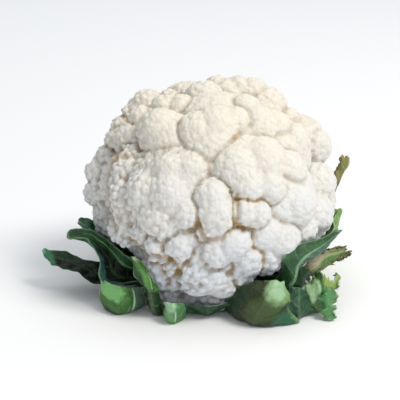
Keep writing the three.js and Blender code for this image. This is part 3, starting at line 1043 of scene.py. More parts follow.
# Places of the front that stand out or lie back: (across, up, reach, rise).
SWELLS = (
    (36, 76, 14, 8), (-30, 76, 9, -4), (-54, 68, 9, 5), (54, 64, 9, -3), (78, 36, 16, 5), (86, 22, 12, 4),
    (-72, 41, 8, -8), (12, 82, 14, 2), (-6, -66, 24, 5),
)

# Lobes with weaker buds: (across, up, reach).
CALM = (
    (-28, 17, 11), (-11, 18, 10), (-35, 42, 11), (-31, 56, 9), (-46, 60, 12), (8, 42, 12), (20, 66, 18),
    (66, 2, 16), (36, 26, 16), (-20, -2, 9), (1, -8, 11), (44, -32, 10), (14, -34, 9), (56, 44, 16),
)

# Where the seams are stained brown and painted darker as shade: (across, up, reach).
STAINED_AND_SHADED = (
    (21, -5, 9), (20, -24, 10), (36, -13, 9), (28, -48, 14), (-24, -49, 12), (-36, -8, 7), (-50, -42, 13),
    (-4, -24, 9), (16, 40, 6), (-66, 26, 11), (8, -44, 7), (-72, -4, 20), (-64, 45, 12),
)


@dataclass
class Curd:
    """The head of florets, grown from balls of flesh in three sizes and skinned over.

    Lengths are in millimetres. The front follows its measured florets, and the rest a rule. The spacing and
    the roundness of buds, and of groups of buds, go from the smoothest to the knobbliest places. fine_from
    is the radius from which a ball is split finely.
    """

    middle: np.ndarray = field(default_factory=HEAD_MIDDLE.copy)
    radii: np.ndarray = field(default_factory=lambda: np.array([90.0, 90.0, 80.0]))
    low_front_radii: np.ndarray = field(default_factory=lambda: np.array([90.0, 90.0, 92.0]))
    low_back_radii: np.ndarray = field(default_factory=lambda: np.array([90.0, 90.0, 58.0]))
    core_share: float = 0.8
    underside: float = 17.5
    edge_drop: float = 6.0
    lobe_swell: float = 1.32
    dome_roundness: float = 1.3
    dome_depth: float = 5.2
    mark_depth: float = 4.0
    hidden_florets: int = 74
    hidden_radii: Pair = (16.0, 25.0)
    hidden_stray: float = 0.34
    hidden_sinks: Pair = (0.0, 3.0)
    hidden_side: float = -0.02
    hidden_top: float = 0.2
    hidden_lowest: float = 36.0
    knob_radius: float = 10.5
    knob_sizes: Pair = (0.75, 1.15)
    knob_rise: float = 0.8
    knob_rises: Pair = (0.5, 1.5)
    knob_cap: float = 0.75
    knob_crowding: float = 1.9
    fewest_knobs: int = 5
    knob_slant: Point = (0.31, 0.2, 0.93)
    fine_from: float = 16.0
    skin_step: float = 1.0
    smoothing: int = 1
    cleft_smoothing: int = 5
    front_fade: float = 0.2
    seam_depth: float = 1.5
    seam_width: float = 1.1
    seam_batches: int = 40
    rim_spread: float = 0.6
    rim_start: float = 0.15
    foot_pull: np.ndarray = field(default_factory=lambda: np.array([-0.56, 0.0, -0.42]))
    floret_ease: int = 10
    foot_gap: float = 1.0
    foot_fade: float = 3.0
    foot_slope: float = 3.0
    foot_start: float = 2.0
    bud_spacing: Pair = (5.0, 4.6)
    bud_roundness: Pair = (1.2, 0.74)
    bud_sizes: Pair = (0.65, 1.25)
    bud_out: float = 0.35
    big_bud_rise: float = 0.12
    crease_width: float = 0.35
    neighbours: int = 4
    group_spacing: Pair = (11.0, 8.5)
    group_roundness: Pair = (0.95, 0.8)
    group_rise: float = 0.12
    knobbly_group_rise: float = 0.32
    groups_by_rim: Pair = (0.3, 1.0)
    group_ease: int = 3
    bud_rise: float = 0.5
    rim_bud_rise: float = 0.3
    knobbly_bud_rise: float = 0.15
    knobbly_by_rim: float = 0.6
    knobbly_by_grain: float = 0.8
    knobbly_start: float = -0.4
    deepest: float = 1.7
    low_height: float = 52.0
    low_fade: float = 15.0
    low_rise: float = 0.25
    calm_share: float = 0.5
    candidate_share: float = 0.4
    lowest: float = 3.0
    hollow_span: int = 8
    hollow_depth: float = 1.1
    draws: np.random.Generator = field(default_factory=lambda: np.random.default_rng(5))

    def from_the_front(self, across: float, up: float, radius: float, sink: float) -> np.ndarray:
        """Finds where a ball sits to be seen at a place of the front.

        Args:
            across: Place to the right of the head's middle.
            up: Place above it.
            radius: The ball's radius.
            sink: How far it lies under the head's outline.

        Returns:
            The ball's centre.
        """
        target = self.middle + VIEW_RIGHT * across + VIEW_UP * up
        sight = unit(target - EYE)
        for head in (self.radii, self.low_front_radii):
            radii = head - radius - sink
            start = (EYE - self.middle) / radii
            step = sight / radii
            a, b, c = step @ step, 2 * start @ step, start @ start - 1
            distance = (-b - math.sqrt(max(0.0, b * b - 4 * a * c))) / (2 * a)
            nearest = EYE + sight * distance - self.middle
            if nearest[2] >= 0:
                break
        return unit(nearest / radii) * radii + self.middle

    def outwards(self, points: np.ndarray) -> np.ndarray:
        """Gives the way out of the head at points."""
        return unit((points - self.middle) / self.radii)

    def domes(self) -> list[Ball]:
        """Gives the low dome under each floret of the front, cut flat over the stalk."""
        found = []
        for number, floret in enumerate(FRONT_FLORETS):
            radius = floret.reach * self.dome_roundness
            crown = self.from_the_front(*floret.middle, 0.0, self.dome_depth + floret.sink)
            centre = crown - unit(crown - self.middle) * radius
            found.append(Ball(centre, radius, number, floret.grain, self.underside))
        return found

    def front_lobes(self) -> list[Ball]:
        """Gives the lobes of the front."""
        found = []
        for number, floret in enumerate(FRONT_FLORETS):
            for across, up, width in floret.lobes:
                radius = width * self.lobe_swell
                away = math.hypot(across - floret.middle[0], up - floret.middle[1]) / floret.reach
                centre = self.from_the_front(across, up, radius, self.edge_drop * away**2)
                found.append(Ball(centre, radius, number, floret.grain))
        return found

    def hidden_domes(self) -> list[Ball]:
        """Gives the florets on the sides that the line of sight doesn't reach."""
        draw = seeded_draws(11)
        found = []
        for i in range(self.hidden_florets):
            height = 1 - (2 * (i + 0.5)) / self.hidden_florets
            flat = math.sqrt(1 - height * height)
            turn = i * GOLDEN_ANGLE
            direction = np.array([flat * math.cos(turn), flat * math.sin(turn), height])
            stray = np.array([draw() - 0.5 for _ in range(3)])
            direction = unit(direction + self.hidden_stray * stray)
            radius = between(self.hidden_radii, draw())
            head = self.low_back_radii if direction[2] < 0 else self.radii
            centre = (head - radius - between(self.hidden_sinks, draw())) * direction + self.middle
            limit = self.hidden_side + self.hidden_top * max(0.0, direction[2])
            if direction @ VIEW_BACK < limit and centre[2] > self.hidden_lowest:
                found.append(Ball(centre, radius, len(FRONT_FLORETS) + i))
        return found

    def knobs(self, ball: Ball, turn: float) -> list[Ball]:
        """Covers the outer side of a floret with lobes.

        Args:
            ball: The floret.
            turn: Where their spiral starts.

        Returns:
            The lobes.
        """
        outward = self.outwards(ball.centre)
        side = unit(np.cross(outward, self.knob_slant))
        other = np.cross(outward, side)
        crowd = self.knob_cap * self.knob_crowding * (ball.radius / self.knob_radius) ** 2
        count = max(self.fewest_knobs, round(crowd))
        found = []
        for i in range(count):
            lean = 1 - self.knob_cap * (i + 0.5) / count
            ring = math.sqrt(max(0.0, 1 - lean * lean))
            bearing = i * GOLDEN_ANGLE + turn
            way = outward * lean + (side * math.cos(bearing) + other * math.sin(bearing)) * ring
            radius = self.knob_radius * self.draws.uniform(*self.knob_sizes)
            out = ball.radius + self.knob_rise * self.draws.uniform(*self.knob_rises) - radius
            found.append(Ball(ball.centre + way * out, radius, ball.floret, ball.grain))
        return found

    def flesh(self) -> list[Ball]:
        """Gives all balls, moved out or in where the front swells or sinks."""
        hidden = self.hidden_domes()
        lobes = [knob for turn, ball in enumerate(hidden) for knob in self.knobs(ball, turn)]
        swells = [
            (self.from_the_front(across, up, self.mark_depth, 0.0), reach, rise)
            for across, up, reach, rise in SWELLS
        ]
        placed = []
        for ball in self.domes() + hidden + self.front_lobes() + lobes:
            out = unit(ball.centre - self.middle)
            crown = ball.centre + out * ball.radius
            move = sum(
                rise * math.exp(-(math.dist(crown, spot) / reach) ** 2)
                for spot, reach, rise in swells
            )
            placed.append(replace(ball, centre=ball.centre + out * move))
        return placed

    def lump(self, balls: list[Ball]) -> Skin:
        """Puts all balls, and the core under them, into one heap of closed skins."""
        coarse, fine = ball_template(3), ball_template(4)
        core = fine.points * self.radii * self.core_share + self.middle
        core[:, 2] = np.maximum(core[:, 2], self.underside)
        points, faces, count = [core], [fine.faces], len(core)
        for ball in balls:
            template = fine if ball.radius > self.fine_from else coarse
            cloud = template.points * ball.radius + ball.centre
            cloud[:, 2] = np.maximum(cloud[:, 2], ball.floor)
            points.append(cloud)
            faces.append(template.faces + count)
            count += len(cloud)
        return Skin(np.concatenate(points), np.concatenate(faces))

    def skinned(self, balls: list[Ball]) -> Skin:
        """Draws one even skin round the heap and keeps its outside."""
        heap = bpy.data.objects.new("heap", self.lump(balls).mesh("heap"))
        bpy.context.scene.collection.objects.link(heap)
        remesh = heap.modifiers.new("skin", "REMESH")
        remesh.mode = "VOXEL"
        remesh.voxel_size = self.skin_step * MM
        graph = bpy.context.evaluated_depsgraph_get()
        mesh = bpy.data.meshes.new_from_object(heap.evaluated_get(graph))
        bpy.data.objects.remove(heap)
        points = np.zeros(len(mesh.vertices) * 3)
        mesh.vertices.foreach_get("co", points)
        corners = np.zeros(len(mesh.loops), int)
        mesh.loops.foreach_get("vertex_index", corners)
        starts = np.zeros(len(mesh.polygons), int)
        mesh.polygons.foreach_get("loop_start", starts)
        faces = corners[starts[:, None] + np.arange(4)]
        bpy.data.meshes.remove(mesh)
        return Skin(points.reshape(-1, 3) / MM, faces).outside()

    def seams(self, points: np.ndarray, balls: list[Ball]) -> tuple[np.ndarray, np.ndarray, np.ndarray]:
        """Tells where each point lies on its floret.

        Args:
            points: The points of the skin.
            balls: The balls under it, the florets' own domes first.

        Returns:
            The distance to the next floret, how near the floret's rim each point is, and how far its buds
            stand out.
        """
        centres = np.array([ball.centre for ball in balls])
        radii = np.array([ball.radius for ball in balls])
        florets = np.array([ball.floret for ball in balls])
        grains = np.array([ball.grain.value for ball in balls])
        domes = {ball.floret: ball.centre for ball in reversed(balls)}
        own = np.array([domes[ball.floret] for ball in balls])
        found = []
        for part in np.array_split(points, self.seam_batches):
            gap = np.linalg.norm(part[:, None] - centres[None], axis=2) - radii
            nearest = gap.argmin(axis=1)
            foreign = np.where(florets[nearest][:, None] == florets[None], np.inf, gap).min(axis=1)
            way = unit(part - own[nearest])
            lean = (way * self.outwards(own[nearest])).sum(axis=1)
            rim = np.clip((1.0 - lean) / self.rim_spread + way @ self.foot_pull + self.rim_start, 0, 1)
            found.append(np.stack([foreign - gap.min(axis=1), rim, grains[nearest]], axis=1))
        return tuple(np.concatenate(found).T)

    def buds(
        self, points: np.ndarray, share: np.ndarray, spacings: Pair, roundnesses: Pair
    ) -> tuple[np.ndarray, np.ndarray]:
        """Strews buds over the skin.

        Args:
            points: The points of the skin.
            share: How knobbly each point is, 0 to 1.
            spacings: How far apart the buds stand, at the smoothest and at the knobbliest points.
            roundnesses: Their radius there as a share of the spacing.

        Returns:
            How far each point moves out, and how near it is to a crease between buds.
        """
        spacing = between(spacings, share)
        chosen = strewn(points, spacing, self.draws, self.candidate_share)
        tree = kdtree.KDTree(len(chosen))
        for number, k in enumerate(chosen):
            tree.insert(points[k].tolist(), number)
        tree.balance()
        reach = spacing[chosen] * self.draws.uniform(*self.bud_sizes, len(chosen))
        radius = reach * between(roundnesses, share)[chosen]
        near = [tree.find_n(point, self.neighbours) for point in points.tolist()]
        number = np.array([[hit[1] for hit in hits] for hits in near])
        distance = np.array([[hit[2] for hit in hits] for hits in near])
        height = np.sqrt(np.clip(radius[number] ** 2 - distance**2, 0, None)) - radius[number]
        height = np.maximum(height + (reach[number] - spacing.min()) * self.big_bud_rise, -self.deepest)
        second, first = np.sort(height, axis=1)[:, -2:].T
        return first + self.bud_out, np.exp(-(((first - second) / self.crease_width) ** 2))

    def near_places(
        self, points: np.ndarray, places: Sequence[Point], sink: float, power: int
    ) -> np.ndarray:
        """Tells how near points are to places of the front, 0 to 1.

        Args:
            points: The points of the skin.
            places: Places as (across, up, reach).
            sink: How far under the head's outline they lie.
            power: How sharply the nearness ends at the reach.

        Returns:
            The nearness of each point.
        """
        near = np.zeros(len(points))
        for across, up, reach in places:
            spot = self.from_the_front(across, up, self.mark_depth, sink)
            near += np.exp(-(np.linalg.norm(points - spot, axis=1) / reach) ** power)
        return np.clip(near, 0, 1)

    def seen(self, points: np.ndarray) -> np.ndarray:
        """Gives the places of the front at which points are seen, measured from the head's middle."""
        sight = points - EYE
        scale = ((EYE - self.middle) @ VIEW_BACK) / -(sight @ VIEW_BACK)
        flat = EYE + sight * scale[:, None] - self.middle
        return np.stack([flat @ VIEW_RIGHT, flat @ VIEW_UP], axis=1)

    def cleft_depths(self, points: np.ndarray) -> tuple[np.ndarray, np.ndarray]:
        """Tells how deep the clefts cut at each point, and how near it is to one, 0 to 1."""
        places = self.seen(points)
        facing = self.outwards(points) @ VIEW_BACK
        front = np.clip((facing - self.front_fade) / self.front_fade, 0, 1)
        depths, shares = [np.zeros(len(points))], [np.zeros(len(points))]
        for cleft in CLEFTS:
            away = np.full(len(points), np.inf)
            turns = np.array(cleft.places, float)
            for start, leg in zip(turns[:-1], np.diff(turns, axis=0)):
                run = np.clip((places - start) @ leg / (leg @ leg), 0, 1)
                away = np.minimum(away, np.linalg.norm(places - start - run[:, None] * leg, axis=1))
            share = np.exp(-((away / cleft.width) ** 2)) * front
            depths.append(cleft.depth * share)
            shares.append(share)
        return np.max(depths, axis=0), np.max(shares, axis=0)

    def cut_clefts(self, skin: Skin, web: Web) -> np.ndarray:
        """Cuts the clefts straight into the head and softens their edges.

        Args:
            skin: The curd's skin, which is changed.
            web: Its neighbours.

        Returns:
            How near each point is to a cleft, 0 to 1.
        """
        depth, cleft = self.cleft_depths(skin.points)
        skin.points = skin.points - self.outwards(skin.points) * depth[:, None]
        softer = web.smoothed(skin.points, self.cleft_smoothing)
        skin.points += (softer - skin.points) * np.clip(cleft * 2, 0, 1)[:, None]
        return cleft

    def rises(
        self, points: np.ndarray, rim: np.ndarray, grain: np.ndarray
    ) -> tuple[np.ndarray, np.ndarray]:
        """Tells how much the buds and the groups of buds stand out at each point.

        Args:
            points: The points of the skin.
            rim: How near the floret's rim each is.
            grain: How knobbly its floret is.

        Returns:
            The share for the buds and the one for the groups.
        """
        calm = 1 - self.calm_share * self.near_places(points, CALM, 0.0, 4)
        low = np.clip((self.low_height - points[:, 2]) / self.low_fade, 0, 1)
        buds = self.bud_rise + self.rim_bud_rise * rim + self.knobbly_bud_rise * grain * rim
        knobbly = (grain - Grain.SMOOTH.value) / (Grain.KNOBBLY.value - Grain.SMOOTH.value)
        groups = self.group_rise + self.knobbly_group_rise * knobbly * between(self.groups_by_rim, rim)
        return buds * calm * (1 + self.low_rise * low), groups * calm

    def build(self) -> bpy.types.Object:
        """Grows the curd and dresses it.

        Returns:
            The finished piece.
        """
        balls = self.flesh()
        skin = self.skinned(balls)
        web = Web(skin)
        skin.points = web.smoothed(skin.points, self.smoothing)
        cleft = self.cut_clefts(skin, web)
        gap, rim, grain = self.seams(skin.points, balls)
        rim, grain = web.eased(rim, self.floret_ease), web.eased(grain, self.floret_ease)
        seam = np.exp(-((gap / self.seam_width) ** 2))
        normals = web.normals(skin.points)
        # Nothing swells on the flat underside, where the stalk stands.
        over_foot = (skin.points[:, 2] - self.underside - self.foot_gap) / self.foot_fade
        foot = np.clip(np.maximum(over_foot, normals[:, 2] * self.foot_slope + self.foot_start), 0, 1)
        rise, group_rise = self.rises(skin.points, rim, grain)
        share = rim * self.knobbly_by_rim + grain * self.knobbly_by_grain + self.knobbly_start
        share = np.clip(share, 0, 1)
        swell, crease = self.buds(skin.points, share, self.bud_spacing, self.bud_roundness)
        group, _ = self.buds(skin.points, share, self.group_spacing, self.group_roundness)
        group = web.eased(group, self.group_ease)
        shift = swell * rise + group * group_rise - self.seam_depth * seam
        skin.points = skin.points + normals * (shift * foot)[:, None]
        skin.points[:, 2] = np.maximum(skin.points[:, 2], self.lowest)
        level = web.smoothed(skin.points, self.hollow_span)
        hollow = ((level - skin.points) * web.normals(level)).sum(axis=1) / self.hollow_depth
        # The seam mark takes in the clefts too, so that the finish paints shade, amber and brown along
        # them.
        skin.marks = {
            "seam": np.clip(seam + cleft**2, 0, 1),
            "crease": crease,
            "hollow": np.clip(hollow, 0, 1),
            "rim": np.clip(rise, 0, 1),
            "stain_and_shade": self.near_places(skin.points, STAINED_AND_SHADED, self.mark_depth, 2),
        }
        return show(skin, "curd_skin", CurdFinish().material(), "curd")


# The leaves


Station = tuple[Point, Point, Point]
# A leaf's flap counts its way from here, so that stretches of colour can be laid on it alone.
FLAP_START = 2.0


def spread(values: Sequence[float], count: int) -> np.ndarray:
    """Reads evenly spaced values off the broken line through a few."""
    return np.interp(np.linspace(0, 1, count), np.linspace(0, 1, len(values)), values)


@dataclass(frozen=True)
class Grid:
    """The points of a leaf's middle surface, the way it faces there, and where each point lies on the leaf.

    way runs from the stalk to the tip and side across, from -1 to 1. share is how near a side edge a point
    is, and margin how near any edge. right is 1 on the right half. run and across are in millimetres, along
    the midrib and off it.
    """

    points: np.ndarray
    out: np.ndarray
    way: np.ndarray
    side: np.ndarray
    share: np.ndarray
    margin: np.ndarray
    right: np.ndarray
    run: np.ndarray
    across: np.ndarray


@dataclass(frozen=True)
class Leaf:
    """A leaf drawn as stations from the stalk to the tip: an edge, the midrib and the other edge.

    Lengths are in millimetres. ruffle is the height of the waves along the edges, notch how deep the edges
    are cut as a share of the half-width, teeth the finer cuts, and pucker the swelling between the veins.
    """

    name: str
    tone: Tone
    finish: LeafFinish
    stations: tuple[Station, ...]
    ruffle: float = 1.2
    notch: float = 0.16
    teeth: float = 0.035
    pucker: float = 0.5
    belly: float = 0.0
    fold: float = 0.0
    flap: tuple[Station, ...] = ()
    blade: float = 0.8
    thin_edge: float = 0.45
    thin_from: float = 0.9
    rib_thickness: tuple[float, ...] = (5.5, 4.5, 3.0, 2.0, 1.2)
    rib_half_width: tuple[float, ...] = (8.0, 6.0, 4.5, 3.2, 2.4)
    inner_rib_share: float = 0.2
    ruffles: float = 3.0
    ruffle_starts: int = 7
    right_start: float = 0.3
    fine_ruffle: float = 0.35
    fine_ruffles: float = 2.7
    fine_start: float = 0.2
    vein_stagger: float = 4.7
    smooth_by_rib: float = 5.0
    belly_start: float = 0.4
    lowest: float = 0.5
    coarse_steps: int = 8
    coarse_columns: int = 4
    steps: int = 84
    columns: int = 40

    def surface(self, stations: np.ndarray, way: np.ndarray, side: np.ndarray) -> np.ndarray:
        """Gives points of the leaf's middle surface.

        Args:
            stations: The stations as an array.
            way: How far from the stalk to the tip, 0 to 1.
            side: How far across, -1 to 1.

        Returns:
            The points, in the shape of way.
        """
        edge, middle, other = np.moveaxis(along(stations, way.ravel()), 1, 0)
        v = side.reshape(-1, 1)
        points = middle + (other - edge) * v / 2 + ((edge + other) / 2 - middle) * v * v
        return points.reshape(*way.shape, 3)

    def facing(self, stations: np.ndarray) -> float:
        """Tells which way round the leaf is drawn, so that its first skin looks at the head."""
        nearby = np.array([-0.02, 0.0, 0.02])
        way, side = np.meshgrid(0.4 + nearby, nearby, indexing="ij")
        patch = self.surface(stations, way, side)
        normal = np.cross(patch[2, 1] - patch[0, 1], patch[1, 2] - patch[1, 0])
        return float(np.sign(normal @ (HEAD_MIDDLE - patch[1, 1])))

    def cuts(self, seed: int) -> tuple[np.ndarray, np.ndarray]:
        """Draws how deep the edges are cut, as shares of the leaf's length and half-width.

        Args:
            seed: Where the leaf's random draws start.

        Returns:
            The cut of the tip for each column, and the cuts of both sides for each row.
        """
        draw = seeded_draws(seed)
        tips = [self.notch * draw() / 2 for _ in range(self.coarse_columns + 1)]
        sides = np.array([[self.notch * draw(), self.notch * draw()] for _ in range(self.coarse_steps + 1)])
        saw = np.random.default_rng(seed)
        tip = spread(tips, self.columns + 1) + self.teeth / 2 * saw.random(self.columns + 1)
        both = [spread(cut, self.steps + 1) + self.teeth * saw.random(self.steps + 1) for cut in sides.T]
        return tip, np.stack(both, axis=1)

    def grid(self, stations: np.ndarray, seed: int) -> Grid:
        """Lays a grid of points over the leaf's middle surface, inside its cut edges.

        Args:
            stations: The stations as an array.
            seed: Where the leaf's random draws start.

        Returns:
            The points with their places on the leaf.
        """
        tip_cut, side_cuts = self.cuts(seed)
        rows, columns = np.linspace(0, 1, self.steps + 1), np.linspace(-1, 1, self.columns + 1)
        step, even = np.meshgrid(rows, columns, indexing="ij")
        share = np.abs(even)
        even = even * self.facing(stations)
        way = step * (1 - tip_cut)
        cut = np.where(even < 0, side_cuts[:, :1], side_cuts[:, 1:])
        side = even * (1 - cut * share**3 * way)
        points = self.surface(stations, way, side)
        one = np.ones_like(way)
        width = self.surface(stations, way, one) - self.surface(stations, way, -one)
        lengths = np.linalg.norm(np.diff(points, axis=0, prepend=points[:1]), axis=-1)
        return Grid(
            points=points,
            out=unit(np.cross(unit(np.gradient(points, axis=0)), np.gradient(points, axis=1))),
            way=way,
            side=side,
            share=share,
            margin=np.maximum(share, step**6),
            right=(even >= 0).astype(float),
            run=np.cumsum(lengths, axis=0)[:, self.columns // 2][:, None] + np.zeros_like(way),
            across=np.linalg.norm(width, axis=-1) / 2 * side,
        )

    def waves(self, grid: Grid, seed: int) -> np.ndarray:
        """Tells how far each point stands off the smooth surface, in millimetres.

        Args:
            grid: The leaf's points.
            seed: The leaf's number, by which its waves are shifted.

        Returns:
            The rise of each point.
        """
        turns = self.ruffles * grid.way + seed / self.ruffle_starts + grid.right * self.right_start
        wave = self.ruffle * grid.share**2 * np.sin(2 * np.pi * turns)
        fine_turns = turns * self.fine_ruffles + self.fine_start
        wave += self.ruffle * self.fine_ruffle * grid.share**3 * np.sin(2 * np.pi * fine_turns)
        away = np.abs(grid.across)
        bent = grid.run - away * VEIN_LEAN + grid.right * self.vein_stagger
        vein = np.cos(2 * np.pi * bent / VEIN_PITCH)
        wave += self.pucker * (1 - grid.share**4) * np.minimum(1, away / self.smooth_by_rib) * vein
        belly_way = np.clip((grid.way - self.belly_start) / (1 - self.belly_start), 0, 1)
        wave -= self.belly * (1 - grid.side**2) * np.sin(np.pi * belly_way)
        wave -= self.fold * (1 - grid.share) * np.sin(np.pi * np.clip(grid.way, 0, 1))
        return wave

    def skins(self, stations: np.ndarray, seed: int) -> Skin:
        """Draws both skins of the leaf over one grid and joins them round the edge.

        Args:
            stations: The stations as an array.
            seed: Where the leaf's random draws start.

        Returns:
            The leaf as one closed skin.
        """
        grid = self.grid(stations, seed)
        points = grid.points + grid.out * self.waves(grid, seed)[..., None]
        thick, broad = (
            along(np.array(sizes), grid.way.ravel()).reshape(grid.way.shape)
            for sizes in (self.rib_thickness, self.rib_half_width)
        )
        rib = thick * np.exp(-((grid.across / broad) ** 2))
        thinning = self.thin_edge * np.clip((grid.share - self.thin_from) / (1 - self.thin_from), 0, 1)
        half = self.blade / 2 * (1 - thinning)
        inner = points + grid.out * (half + self.inner_rib_share * rib)[..., None]
        outer = points - grid.out * (half + (1 - self.inner_rib_share) * rib)[..., None]
        inner[..., 2] = np.maximum(inner[..., 2], self.lowest + self.blade)
        outer[..., 2] = np.maximum(outer[..., 2], self.lowest)
        places = {
            "along": grid.run * MM, "across": grid.across * MM, "way": grid.way, "side": grid.side,
            "margin": grid.margin,
        }
        marks = {key: np.concatenate([value.ravel()] * 2) for key, value in places.items()}
        marks["outside"] = np.repeat((0.0, 1.0), grid.way.size)
        points = np.concatenate([inner.reshape(-1, 3), outer.reshape(-1, 3)])
        return Skin(points, closed_grid(*grid.way.shape), marks)

    def build(self, seed: int) -> bpy.types.Object:
        """Draws the leaf, with its flap if it has one, and dresses it.

        Args:
            seed: Where the leaf's random draws start.

        Returns:
            The finished piece.
        """
        skin = self.skins(np.array(self.stations, float), seed)
        if self.flap:
            flap = self.skins(np.array(self.flap, float), seed)
            flap.marks["way"] = flap.marks["way"] + FLAP_START
            skin = skin.joined(flap)
        return show(skin, f"{self.name}_blade", self.finish.material(), self.name)


